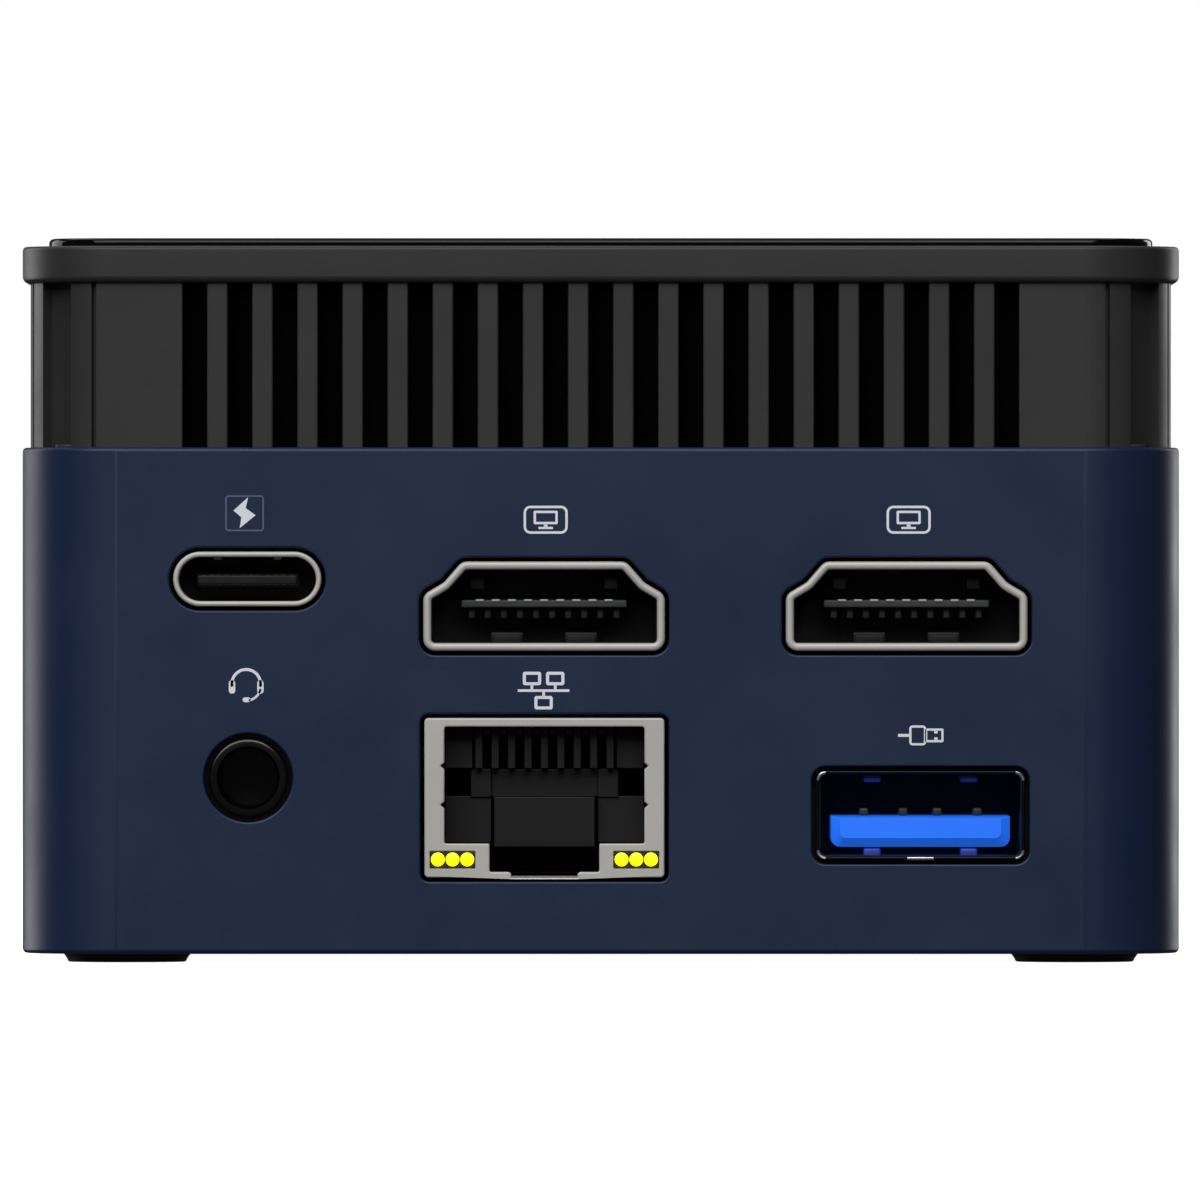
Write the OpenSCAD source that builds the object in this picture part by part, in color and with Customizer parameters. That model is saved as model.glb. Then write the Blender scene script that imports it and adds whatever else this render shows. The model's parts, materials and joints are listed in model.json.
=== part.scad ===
// Palm-sized mini computer: a rounded square case with its sockets on one wall,
// a slotted vent ring above it, a lid with a gloss panel, and a fan-cooled pair
// of circuit boards inside. Every socket is soldered to the underside of a board,
// so all of them are upside down.
//
// Frame: origin on the table under the middle of the case, +Z up. The wall with
// the sockets faces -Y, and the power button faces +Y.

/* [Case] */
// Width of the case and the lid
body_w = 72; // [71:0.5:90]
// Depth of the case and the lid
body_d = 72; // [71:0.5:90]
// Height of the coloured lower case
case_h = 31.45; // [30.5:0.05:40]
// Radius of the upright corners
corner_r = 6; // [5:0.1:6.6]
// Thickness of the upright walls
wall = 1.6; // [1.2:0.1:2]
// Thickness of the plate that closes the bottom
cover_t = 1.6; // [1.2:0.1:2]
// Gap between the bottom plate and the walls round it
cover_clear = 0.15; // [0.05:0.05:0.3]
// Width and depth of the ribs that carry the lower board
ledge_size = 4.8; // [4:0.1:6]
// Distance of the ribs from the middle, front to back
ledge_y = 20; // [16:0.5:23]

/* [Corner posts] */
// Distance of each post's axis in from the two outer faces
post_inset = 6.5; // [6.3:0.1:6.8]
// Radius of a post
post_r = 2.6; // [2.2:0.1:2.8]
// Thickness of the web that ties a post to its corner
web_t = 2.4; // [1.6:0.1:3]
// Distance from the top edge of the case down to the top of a post
post_drop = 1.8; // [1.5:0.1:2.5]

/* [Vent ring] */
// Height of the slotted ring that shows between the case and the lid
vent_h = 10.2; // [9.5:0.1:16]
// Step from the case's outer face in to the ring's
vent_step = 0.5; // [0.3:0.1:0.8]
// Thickness of the upright bars
bar_t = 1.5; // [1.2:0.1:1.8]
// Number of slots on each side
slot_n = 19; // [9:2:19]
// Width of a slot
slot_w = 1.5; // [1:0.1:1.7]
// Distance from one slot to the next
slot_pitch = 2.8; // [2.2:0.05:2.8]
// Thickness of the hidden rims that join the bars
rim_t = 1.35; // [1:0.05:1.6]
// How far each rim laps behind the ends of the slots
rim_lap = 0.8; // [0.5:0.1:1.5]
// How far the rims reach into the back of the bars
rim_bite = 0.3; // [0.1:0.05:0.6]
// Gap between the ring's rims and the walls round them
rim_clear = 0.15; // [0.05:0.05:0.25]
// Thickness of the corner plates that stand on the posts
ear_t = 2; // [1.5:0.1:2.5]
// Width of the upright channel down each corner
channel_w = 2.5; // [1.5:0.1:3]
// Depth of that channel
channel_depth = 0.93; // [0.4:0.05:1]
// Width of the thin groove on each side of the channel
groove_w = 0.3; // [0.2:0.05:0.5]
// Depth of the thin grooves
groove_depth = 0.4; // [0.2:0.05:0.6]
// Angle round the corner from a flat face to a groove
groove_angle = 15.5; // [10:0.5:22]

/* [Lid] */
// Height of the lid's band
lid_h = 2.3; // [2.2:0.1:3]
// Thickness of the plate inside the lid
lid_plate_t = 1; // [0.8:0.1:1.2]
// How far the gloss panel stands above the lid
panel_rise = 0.5; // [0.3:0.1:0.8]
// Depth of the recess that the panel sits in
panel_seat = 0.8; // [0.5:0.1:0.8]
// Distance from the lid's edge in to the panel's
panel_inset = 1.65; // [1.2:0.05:2.5]
// Gap round the panel in its recess
panel_clear = 0.1; // [0.05:0.05:0.2]
// Width of each of the four snap tongues
tongue_w = 12; // [6:1:20]
// Thickness of a snap tongue
tongue_t = 0.9; // [0.7:0.1:1.2]
// How far a tongue's nose hooks under the ring's upper rim
nose_bite = 0.5; // [0.3:0.1:0.8]

/* [Feet] */
// Height of the feet below the case
foot_rise = 0.55; // [0.4:0.05:1.5]
// Radius of a foot where it meets the case
foot_r = 4; // [3:0.1:4.2]
// Radius of a foot where it meets the table
foot_tip_r = 3.7; // [2.8:0.1:4]

/* [Boards] */
// Height of the lower board's underside above the bottom edge of the case
io_board_rise = 14.65; // [14.3:0.05:17]
// Space between the two boards
board_gap = 9.15; // [9:0.05:10.5]
// Thickness of both boards
board_t = 1.2; // [1:0.1:1.6]
// Gap between a board's edge and the case wall
board_clear = 0.5; // [0.3:0.1:1]
// Width of the corner notches past each post
notch_clear = 0.4; // [0.3:0.1:1]
// Width across the flats of the brass spacers
spacer_af = 3.6; // [3.2:0.1:4]

/* [Screws] */
// Thread radius of all the screws that hold the case and the boards
screw_r = 1; // [0.8:0.05:1.1]
// Radius of their heads
head_r = 1.9; // [1.6:0.1:2.1]
// Height of their heads
head_h = 1.1; // [0.8:0.1:1.3]
// Gap round a screw in a hole that it only passes through
screw_clear = 0.15; // [0.05:0.05:0.3]
// Threaded length of the screws in the posts
post_screw_len = 7; // [5:0.5:10]

/* [Cooling] */
// Side of the square fan
fan_w = 50; // [48:1:52]
// Height of the fan
fan_h = 7; // [6:0.5:8]
// Distance between the fan's screw holes
fan_pitch = 40; // [39:0.5:42]
// Gap between the fan and the lid's plate
fan_gap = 0.7; // [0.4:0.1:2]
// Radius of the round opening through the fan's frame
duct_r = 23.7; // [22.5:0.1:24.2]
// Gap between the blade tips and the frame
tip_gap = 0.6; // [0.4:0.1:1]
// Radius of the rotor's hub
hub_r = 11; // [9:0.5:12]
// Number of blades
blade_n = 9; // [5:1:11]
// Tilt of a blade from level
blade_tilt = 38; // [30:1:45]
// Radius of the rotor's shaft
shaft_r = 0.75; // [0.5:0.05:1]
// Running gap between the shaft and its bearing
shaft_clear = 0.03; // [0.02:0.01:0.06]
// Outer radius of the bearing sleeve
bearing_r = 1.8; // [1.6:0.1:2]
// Side of the heatsink
sink_w = 50; // [48:1:51]
// Thickness of the heatsink's base
sink_base_t = 2.2; // [1.8:0.1:2.4]
// Number of fins
fin_n = 15; // [7:2:15]
// Thickness of a fin
fin_t = 0.8; // [0.6:0.1:1]
// Distance from one fin to the next
fin_pitch = 2.3; // [2:0.1:2.3]
// Radius of the posts on the heatsink
sink_post_r = 2.8; // [2.4:0.1:3]
// Thickness of the thermal pad
pad_t = 0.5; // [0.3:0.1:0.8]

/* [Sockets] */
// Gap between a socket and the hole in the case round it
port_gap = 0.25; // [0.15:0.05:0.3]
// Thickness of the sheet metal of the socket shells
shell_t = 0.3; // [0.25:0.05:0.35]
// Sideways place of the USB-C socket
usb_c_x = -21.94; // [-23:0.02:-19]
// Sideways place of the left screen socket
hdmi_left_x = -3.52; // [-5:0.02:-2.5]
// Sideways place of the right screen socket
hdmi_right_x = 18.98; // [17:0.02:19]
// Sideways place of the headset socket
jack_x = -21.88; // [-23:0.02:-18]
// Sideways place of the network socket
lan_x = -3.5; // [-6:0.02:-1]
// Sideways place of the USB socket beside them
usb_rear_x = 19.84; // [16:0.02:19.9]
// Distance between the two USB sockets on the button side
usb_front_pitch = 20; // [16:0.5:30]
// Depth of the centre of the USB-C socket below the upper board
usb_c_drop = 1.73; // [1.7:0.01:2.2]
// Depth of the centre of a screen socket below the upper board
hdmi_drop = 3.42; // [3.2:0.01:3.8]
// Depth of the centre of the headset socket below the lower board
jack_drop = 3.71; // [3.4:0.01:4.5]
// Depth of the centre of a USB socket below the lower board
usb_drop = 6.04; // [5:0.01:7]

/* [Power button] */
// Radius of the button's face
button_r = 3.5; // [2.5:0.1:3.6]
// How far the button can be pressed
button_travel = 0.3; // [0.2:0.05:0.5]
// Depth of the button's face below the wall round it
button_recess = 0.15; // [0.1:0.05:0.4]
// Gap round the button
button_clear = 0.2; // [0.1:0.05:0.3]
// Height of the button's axis above the lower board
button_rise = 4.5; // [4.4:0.1:4.7]
// Width of the lip that keeps the button in the case
button_lip = 0.7; // [0.4:0.1:0.7]

/* [Hidden] */

$fn = 64;
eps = 0.02;        // overlap that joins two solids of one piece
cut = 1;           // how far a cutting tool runs past the face it cuts
thread_gap = 0.02; // between a screw and the hole it is driven into

// Levels, from the table up
case_z = foot_rise;
case_top = case_z + case_h;
vent_top = case_top + vent_h;
lid_top = vent_top + lid_h;
panel_z = lid_top - panel_seat;
lid_plate_z = panel_z - lid_plate_t;
cover_top = case_z + cover_t;
io_z = case_z + io_board_rise;
io_top = io_z + board_t;
main_z = io_top + board_gap;
main_top = main_z + board_t;
post_top = case_top - post_drop;

// Half sizes, from the middle outwards
half_w = body_w / 2;
half_d = body_d / 2;
room_w = half_w - wall;
room_d = half_d - wall;
post_x = half_w - post_inset;
post_y = half_d - post_inset;
spacer_x = room_w - ledge_size / 2;

// Cooling stack, from the processor up to the fan
package_h = 0.9;
die_h = 0.4;
pad_z = main_top + package_h + die_h;
sink_z = pad_z + pad_t;
sink_top = sink_z + sink_base_t;
fan_top = lid_plate_z - fan_gap;
fan_z = fan_top - fan_h;
rotor_r = duct_r - tip_gap;

// Power button
button_z = io_top + button_rise;
button_y = half_d - button_recess;
lip_t = 0.9;
lip_gap = 0.05;            // between the lip and the inside of the wall
lip_y = room_d - lip_gap;

// ---------------------------------------------------------------- shapes

// Flat plate with round upright corners, centred on the Z axis.
module rounded_plate(w, d, r, h) {
    linear_extrude(h) {
        square([w - 2 * r, d], center = true);
        square([w, d - 2 * r], center = true);
        for (x = [-1, 1], y = [-1, 1])
            translate([x * (w / 2 - r), y * (d / 2 - r)])
                circle(r);
    }
}

// Upright tube with round corners, open at both ends.
module rounded_tube(w, d, r, t, h) {
    difference() {
        rounded_plate(w, d, r, h);
        translate([0, 0, -cut])
            rounded_plate(w - 2 * t, d - 2 * t, r - t, h + 2 * cut);
    }
}

// Children repeated at the four corners (+-x, +-y).
module at_corners(x, y) {
    for (sx = [-1, 1], sy = [-1, 1])
        translate([sx * x, sy * y, 0])
            children();
}

// Box from its lowest corner and its size, centred sideways on x = 0.
module slab(w, d, h) {
    translate([-w / 2, 0, 0])
        cube([w, d, h]);
}

// Flat outline, drawn as seen from outside the socket wall, run inwards from y.
module inward(y, depth) {
    translate([0, y + depth, 0])
        rotate([90, 0, 0])
            linear_extrude(depth)
                children();
}

// Screw with a round head, standing on its thread: z = 0 is under the head.
module screw(thread_len) {
    cylinder(r = head_r, h = head_h);
    translate([0, 0, -thread_len])
        cylinder(r = screw_r, h = thread_len + eps);
}

// Round wire through a list of points.
module wire(points, r) {
    for (i = [1 : len(points) - 1]) {
        run = points[i] - points[i - 1];
        length = norm(run);
        translate(points[i - 1])
            rotate([0, acos(run.z / length), atan2(run.y, run.x)])
                cylinder(r = r, h = length, $fn = 24);
    }
    for (i = [1 : len(points) - 2])
        translate(points[i])
            sphere(r = r, $fn = 24);
}

// Unit vector, and the vector turned a quarter turn to the left
function unit(v) = v / norm(v);
function left_of(v) = [-v.y, v.x];
// Point b of a counter-clockwise outline moved inwards by t from both its edges
function inset_corner(a, b, c, t) =
    let (n1 = left_of(unit(b - a)), n2 = left_of(unit(c - b)))
    b + t * (n1 + n2) / (1 + n1 * n2);
// The whole outline moved inwards by t
function inset_outline(p, t) = [
    for (i = [0 : len(p) - 1])
        inset_corner(p[(i + len(p) - 1) % len(p)], p[i], p[(i + 1) % len(p)], t)
];

// Rectangle with round corners, centred.
module rounded_rect(w, h, r) {
    square([w - 2 * r, h], center = true);
    square([w, h - 2 * r], center = true);
    for (x = [-1, 1], y = [-1, 1])
        translate([x * (w / 2 - r), y * (h / 2 - r)])
            circle(r);
}

// ---------------------------------------------------------------- socket outlines

usb_c_w = 9.2;
usb_c_h = 3.4;
usb_c_depth = 8.2;
usb_c_flat = 0.02; // short upright run left at each round end
module usb_c_outline(grow) {
    rounded_rect(usb_c_w + 2 * grow, usb_c_h + 2 * grow, (usb_c_h - usb_c_flat) / 2 + grow);
}

// Screen socket: wide below, its upper corners cut away in two slopes.
hdmi_depth = 10.8;
hdmi_points = [
    [-7.0, -2.78], [7.0, -2.78], [7.5, -2.28], [7.5, 0.72], [6.235, 1.47],
    [5.09, 2.78], [-5.09, 2.78], [-6.235, 1.47], [-7.5, 0.72], [-7.5, -2.28]
];
hdmi_top = 2.78;   // height of its upper edge above its centre
module hdmi_outline(grow) {
    polygon(inset_outline(hdmi_points, -grow));
}

jack_r = 1.8;      // bore for a 3.5 mm plug
jack_collar_r = 2.45;
jack_hole_r = 2.75;
jack_depth = 12;

lan_w = 14.9;
lan_h = 9.9;
lan_depth = 16;
lan_drop = lan_h / 2;
lan_roof = 4.36;   // top of the plug's well, from the socket's centre
// Opening for the plug: a wide well with the latch slot in two steps below it.
lan_well = [
    [-2.1, -4.95], [2.1, -4.95], [2.1, -4.5], [3.4, -4.5], [3.4, -2.84], [6.2, -2.84],
    [6.2, lan_roof], [-6.2, lan_roof], [-6.2, -2.84], [-3.4, -2.84], [-3.4, -4.5], [-2.1, -4.5]
];
lan_front_t = 0.4;
lamp_w = 2.84;
lamp_h = 1.1;
lamp_x = 5.7;
lamp_drop = 3.85;
module lan_outline(grow) {
    square([lan_w + 2 * grow, lan_h + 2 * grow], center = true);
}
module lamp_outlines(grow) {
    for (side = [-1, 1])
        translate([side * lamp_x, -lamp_drop])
            square([lamp_w + 2 * grow, lamp_h + 2 * grow], center = true);
}

usb_w = 13;
usb_h = 5.55;
usb_depth = 14;
usb_corner = 0.6;
module usb_outline(grow) {
    rounded_rect(usb_w + 2 * grow, usb_h + 2 * grow, usb_corner + grow);
}

// Centres of the sockets on the -Y wall
module at_usb_c() {
    translate([usb_c_x, 0, main_z - usb_c_drop])
        children();
}
module at_hdmi(x) {
    translate([x, 0, main_z - hdmi_drop])
        children();
}
module at_jack() {
    translate([jack_x, 0, io_z - jack_drop])
        children();
}
module at_lan() {
    translate([lan_x, 0, io_z - lan_drop])
        children();
}
module at_usb_rear() {
    translate([usb_rear_x, 0, io_z - usb_drop])
        children();
}
// The two USB sockets on the button side are the rear one turned round.
module at_usb_front() {
    for (side = [-1, 1])
        rotate([0, 0, 180])
            translate([side * usb_front_pitch / 2, 0, io_z - usb_drop])
                children();
}

// ---------------------------------------------------------------- case

module socket_holes() {
    reach = wall + 2 * cut;
    y = -half_d - cut;
    at_usb_c()
        inward(y, reach)
            usb_c_outline(port_gap);
    for (x = [hdmi_left_x, hdmi_right_x])
        at_hdmi(x)
            inward(y, reach)
                hdmi_outline(port_gap);
    at_jack()
        inward(y, reach)
            circle(jack_hole_r);
    at_lan()
        inward(y, reach)
            lan_outline(port_gap);
    at_usb_rear()
        inward(y, reach)
            usb_outline(port_gap);
    at_usb_front()
        inward(y, reach)
            usb_outline(port_gap);
}

lamp_hole_r = 0.8;
lamp_pipe_r = 0.75;
lamp_side = 9;
module button_side_holes() {
    translate([0, half_d + cut, button_z])
        rotate([90, 0, 0])
            cylinder(r = button_r + button_clear, h = wall + 2 * cut);
    translate([lamp_side, half_d + cut, button_z])
        rotate([90, 0, 0])
            cylinder(r = lamp_hole_r, h = wall + 2 * cut);
}

// Diagonal distance from a post's axis to the inside of the case corner
post_reach = corner_r - wall + (post_inset - corner_r) * sqrt(2);
web_lap = 0.8;             // how far a web reaches into its post
web_start = post_r - web_lap;
ledge_h = io_z - cover_top;
pilot_depth = post_screw_len + 1;
module lower_case() {
    color([0.141, 0.184, 0.271])
        difference() {
            union() {
                translate([0, 0, case_z])
                    rounded_tube(body_w, body_d, corner_r, wall, case_h);
                translate([0, 0, cover_top]) {
                    at_corners(post_x, post_y)
                        cylinder(r = post_r, h = post_top - cover_top);
                    for (sx = [-1, 1], sy = [-1, 1])
                        translate([sx * post_x, sy * post_y, 0])
                            rotate([0, 0, atan2(sy, sx)])
                                translate([web_start, -web_t / 2, 0])
                                    cube([post_reach - web_start + wall / 2, web_t, post_top - cover_top]);
                    for (sx = [-1, 1], sy = [-1, 1])
                        translate([sx * spacer_x, sy * ledge_y - ledge_size / 2, 0])
                            mirror([sx < 0 ? 1 : 0, 0, 0])
                                translate([-ledge_size / 2, 0, 0])
                                    cube([ledge_size + wall / 2, ledge_size, ledge_h]);
                }
            }
            socket_holes();
            button_side_holes();
            at_corners(post_x, post_y) {
                translate([0, 0, cover_top - cut])
                    cylinder(r = screw_r + thread_gap, h = pilot_depth + cut);
                translate([0, 0, post_top - pilot_depth])
                    cylinder(r = screw_r + thread_gap, h = pilot_depth + cut);
            }
            at_corners(spacer_x, ledge_y)
                translate([0, 0, io_z - stud_len])
                    cylinder(r = screw_r + thread_gap, h = stud_len + cut);
        }
}

module bottom_cover() {
    inset = wall + cover_clear;
    color([0.07, 0.075, 0.085])
        translate([0, 0, case_z])
            difference() {
                rounded_plate(body_w - 2 * inset, body_d - 2 * inset, corner_r - inset, cover_t);
                at_corners(post_x, post_y) {
                    translate([0, 0, -cut])
                        cylinder(r = screw_r + screw_clear, h = cover_t + 2 * cut);
                    translate([0, 0, -cut])
                        cylinder(r = head_r + screw_clear, h = head_h + cut);
                }
            }
}

// Screws up through the bottom plate, their heads hidden by the feet
module cover_screws() {
    color("silver")
        at_corners(post_x, post_y)
            translate([0, 0, case_z + head_h])
                mirror([0, 0, 1])
                    screw(post_screw_len);
}

module foot(sx, sy) {
    color([0.1, 0.1, 0.1])
        translate([sx * post_x, sy * post_y, 0])
            cylinder(r1 = foot_tip_r, r2 = foot_r, h = foot_rise);
}
module foot_rear_left() { foot(-1, -1); }
module foot_rear_right() { foot(1, -1); }
module foot_front_left() { foot(-1, 1); }
module foot_front_right() { foot(1, 1); }

// ---------------------------------------------------------------- vent ring

vent_w = body_w - 2 * vent_step;
vent_d = body_d - 2 * vent_step;
vent_r = corner_r - vent_step;
rim_w = 2 * (room_w - rim_clear);
rim_d = 2 * (room_d - rim_clear);
rim_r = corner_r - wall - rim_clear;
lap_w = vent_w - 2 * (bar_t - rim_bite);   // the rims where they lap behind the bars
lap_d = vent_d - 2 * (bar_t - rim_bite);
lap_r = vent_r - bar_t + rim_bite;
lap_t = (lap_w - rim_w) / 2 + rim_t;
ear_side = 8.2;    // width of a corner plate, from the rim's outer faces inwards
rim_gap = 0.1;      // between the ring and the lid's plate and tongues
upper_rim_top = lid_plate_z - rim_gap;
// Slots that fit between the corner plates at this body size
slots_w = min(slot_n, 2 * floor((rim_w / 2 - ear_side) / slot_pitch) + 1);
slots_d = min(slot_n, 2 * floor((rim_d / 2 - ear_side) / slot_pitch) + 1);

module vent_slots(n, depth) {
    for (i = [0 : n - 1])
        translate([(i - (n - 1) / 2) * slot_pitch, -depth / 2 - cut, case_top - cut])
            slab(slot_w, depth + 2 * cut, vent_h + 2 * cut);
}

// Channel and grooves on the outside of one corner, cut along its radius
module corner_cuts(sx, sy) {
    start = 90 * (sx > 0 ? (sy > 0 ? 0 : 3) : (sy > 0 ? 1 : 2));
    translate([sx * (vent_w / 2 - vent_r), sy * (vent_d / 2 - vent_r), case_top - cut]) {
        rotate([0, 0, start + 45])
            translate([vent_r - channel_depth, -channel_w / 2, 0])
                cube([channel_depth + cut, channel_w, vent_h + 2 * cut]);
        for (a = [groove_angle, 90 - groove_angle])
            rotate([0, 0, start + a])
                translate([vent_r - groove_depth, -groove_w / 2, 0])
                    cube([groove_depth + cut, groove_w, vent_h + 2 * cut]);
    }
}

module vent_ring() {
    color([0.2, 0.2, 0.2])
        difference() {
            union() {
                difference() {
                    translate([0, 0, case_top])
                        rounded_tube(vent_w, vent_d, vent_r, bar_t, vent_h);
                    vent_slots(slots_w, body_d);
                    rotate([0, 0, 90])
                        vent_slots(slots_d, body_w);
                    for (sx = [-1, 1], sy = [-1, 1])
                        corner_cuts(sx, sy);
                }
                translate([0, 0, post_top])
                    rounded_tube(rim_w, rim_d, rim_r, rim_t, case_top + rim_lap - post_top);
                translate([0, 0, vent_top - rim_lap])
                    rounded_tube(rim_w, rim_d, rim_r, rim_t, upper_rim_top - vent_top + rim_lap);
                for (z = [case_top, vent_top - rim_lap])
                    translate([0, 0, z])
                        rounded_tube(lap_w, lap_d, lap_r, lap_t, rim_lap);
                intersection() {
                    translate([0, 0, post_top])
                        rounded_plate(rim_w, rim_d, rim_r, ear_t);
                    at_corners(rim_w / 2, rim_d / 2)
                        translate([-ear_side, -ear_side, post_top - cut])
                            cube([2 * ear_side, 2 * ear_side, ear_t + 2 * cut]);
                }
            }
            at_corners(post_x, post_y)
                translate([0, 0, post_top - cut])
                    cylinder(r = screw_r + screw_clear, h = ear_t + 2 * cut);
        }
}

module ring_screws() {
    color("silver")
        at_corners(post_x, post_y)
            translate([0, 0, post_top + ear_t])
                screw(post_screw_len);
}

// ---------------------------------------------------------------- lid

panel_w = body_w - 2 * panel_inset;
panel_d = body_d - 2 * panel_inset;
panel_r = corner_r - panel_inset;

// Tongue that hangs from the lid's plate at the middle of one side, with its
// nose under the ring's upper rim. The side lies in +Y at the distance given.
module snap_tongue(rim_inner) {
    face = rim_inner - rim_gap;
    nose_h = 1;
    low = vent_top - rim_lap - rim_gap - nose_h;
    translate([0, face - tongue_t, low])
        slab(tongue_w, tongue_t, lid_plate_z - low + eps);
    translate([0, face - eps, low])
        slab(tongue_w, nose_bite + eps, nose_h);
}

module top_cap() {
    color([0.2, 0.2, 0.2]) {
        difference() {
            translate([0, 0, vent_top])
                rounded_plate(body_w, body_d, corner_r, lid_h);
            translate([0, 0, vent_top - cut])
                rounded_plate(rim_w + 2 * rim_clear, rim_d + 2 * rim_clear, rim_r + rim_clear,
                    lid_plate_z - vent_top + cut);
            translate([0, 0, panel_z])
                rounded_plate(panel_w + 2 * panel_clear, panel_d + 2 * panel_clear,
                    panel_r + panel_clear, panel_seat + cut);
        }
        for (turn = [0, 180])
            rotate([0, 0, turn])
                snap_tongue(rim_d / 2 - rim_t);
        for (turn = [90, 270])
            rotate([0, 0, turn])
                snap_tongue(rim_w / 2 - rim_t);
    }
}

module top_panel() {
    color([0.03, 0.03, 0.035])
        translate([0, 0, panel_z])
            rounded_plate(panel_w, panel_d, panel_r, panel_seat + panel_rise);
}

// ---------------------------------------------------------------- boards

stud_len = 4.5;            // depth of the hole that takes a spacer's stud
stud_slack = 0.5;          // left empty at the bottom of that hole
stud_bite = stud_len - stud_slack;
nick_w = 2;                // nick in the upper board's edge for an antenna lead
nick_depth = 1.6;
board_w = 2 * (room_w - board_clear);
board_d = 2 * (room_d - board_clear);

// Circuit board: a square with its corners notched round the posts
module board(z) {
    notch_x = post_x - post_r - notch_clear;
    notch_y = post_y - post_r - notch_clear;
    translate([0, 0, z])
        difference() {
            translate([-board_w / 2, -board_d / 2, 0])
                cube([board_w, board_d, board_t]);
            for (sx = [-1, 1], sy = [-1, 1])
                translate([sx * (notch_x + body_w / 2), sy * (notch_y + body_d / 2), board_t / 2])
                    cube([body_w, body_d, board_t + 2 * cut], center = true);
            at_corners(spacer_x, ledge_y)
                translate([0, 0, -cut])
                    cylinder(r = screw_r + screw_clear, h = board_t + 2 * cut);
        }
}

module main_board() {
    color([0.05, 0.25, 0.14])
        difference() {
            board(main_z);
            at_corners(fan_pitch / 2, fan_pitch / 2)
                translate([0, 0, main_z - cut])
                    cylinder(r = screw_r + screw_clear, h = board_t + 2 * cut);
            for (side = [-1, 1])
                translate([side * board_w / 2, lead_y(side), main_z + board_t / 2])
                    cube([2 * nick_depth, nick_w, board_t + 2 * cut], center = true);
        }
}

module io_board() {
    color([0.05, 0.25, 0.14]) {
        difference() {
            board(io_z);
            translate([ssd_x + ssd_l / 2, ssd_y, io_z - cut])
                cylinder(r = screw_r + thread_gap, h = board_t + 2 * cut);
            translate([wifi_x + wifi_l / 2, wifi_y, io_z - cut])
                cylinder(r = screw_r + thread_gap, h = board_t + 2 * cut);
        }
        translate([ssd_x + ssd_l / 2, ssd_y, io_z - card_gap])
            card_collar();
        translate([wifi_x + wifi_l / 2, wifi_y, io_top])
            card_collar();
    }
}

// Nut soldered to a board, which holds the free end of a card
module card_collar() {
    difference() {
        cylinder(r = card_nut_r, h = card_gap);
        translate([0, 0, -cut])
            cylinder(r = screw_r + thread_gap, h = card_gap + 2 * cut);
    }
}

// Hexagonal brass spacers, screwed through the lower board into the ribs
module board_spacers() {
    color([0.78, 0.62, 0.3])
        at_corners(spacer_x, ledge_y)
            difference() {
                union() {
                    translate([0, 0, io_top])
                        cylinder(r = spacer_af / sqrt(3), h = board_gap, $fn = 6);
                    translate([0, 0, io_top - board_t - stud_bite])
                        cylinder(r = screw_r, h = board_t + stud_bite + eps);
                }
                translate([0, 0, main_z - stud_len])
                    cylinder(r = screw_r + thread_gap, h = stud_len + cut);
            }
}

module board_screws() {
    color("silver")
        at_corners(spacer_x, ledge_y)
            translate([0, 0, main_top])
                screw(board_t + stud_bite);
}

link_w = 18;
link_d = 3.6;
link_y = 18.5;
module board_link() {
    color([0.12, 0.12, 0.12])
        translate([0, link_y, io_top])
            slab(link_w, link_d, board_gap);
}

package_w = 24;
die_w = 12;
die_d = 10;
module processor() {
    color([0.15, 0.3, 0.2])
        union() {
            translate([0, 0, main_top + package_h / 2])
                cube([package_w, package_w, package_h], center = true);
            translate([0, 0, main_top + package_h + die_h / 2 - eps])
                cube([die_w, die_d, die_h + 2 * eps], center = true);
        }
}

memory_x = 17.5;
memory_y = 7;
memory_w = 8;
memory_d = 11;
memory_h = 0.9;
module memory_chips() {
    color([0.1, 0.1, 0.1])
        at_corners(memory_x, memory_y)
            translate([0, -memory_d / 2, main_top])
                slab(memory_w, memory_d, memory_h);
}

choke_n = 4;
choke_pitch = 7.5;
choke_y = -20;
choke_w = 4.8;
choke_h = 1.6;
module power_chokes() {
    color([0.3, 0.3, 0.32])
        for (i = [0 : choke_n - 1])
            translate([(i - (choke_n - 1) / 2) * choke_pitch, choke_y - choke_w / 2, main_top])
                slab(choke_w, choke_w, choke_h);
}

module thermal_pad() {
    color([0.6, 0.65, 0.72])
        translate([0, 0, pad_z + pad_t / 2 + eps])
            cube([die_w, die_d, pad_t], center = true);
}

// ---------------------------------------------------------------- cooling

fin_gap = 0.3;             // between the fins and the fan
sink_bite = 1.2;           // depth of the board screws in the heatsink's base
fan_bite = 3;              // depth of the fan screws in the heatsink's posts
bite_slack = 0.4;          // left empty past the tip of each fan screw
sink_slack = 0.2;          // left empty past the tip of each board screw
module heatsink() {
    color([0.72, 0.73, 0.75])
        difference() {
            union() {
                translate([0, 0, sink_z + sink_base_t / 2 + 2 * eps])
                    cube([sink_w, sink_w, sink_base_t], center = true);
                for (i = [0 : fin_n - 1])
                    translate([0, (i - (fin_n - 1) / 2) * fin_pitch - fin_t / 2, sink_top - eps])
                        slab(sink_w, fin_t, fan_z - fin_gap - sink_top);
                at_corners(fan_pitch / 2, fan_pitch / 2)
                    translate([0, 0, main_top])
                        cylinder(r = sink_post_r, h = fan_z - main_top);
            }
            at_corners(fan_pitch / 2, fan_pitch / 2) {
                translate([0, 0, main_top - cut])
                    cylinder(r = screw_r + thread_gap, h = cut + sink_z - main_top + sink_bite + sink_slack);
                translate([0, 0, fan_z - fan_bite - bite_slack])
                    cylinder(r = screw_r + thread_gap, h = fan_bite + bite_slack + cut);
            }
        }
}

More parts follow.
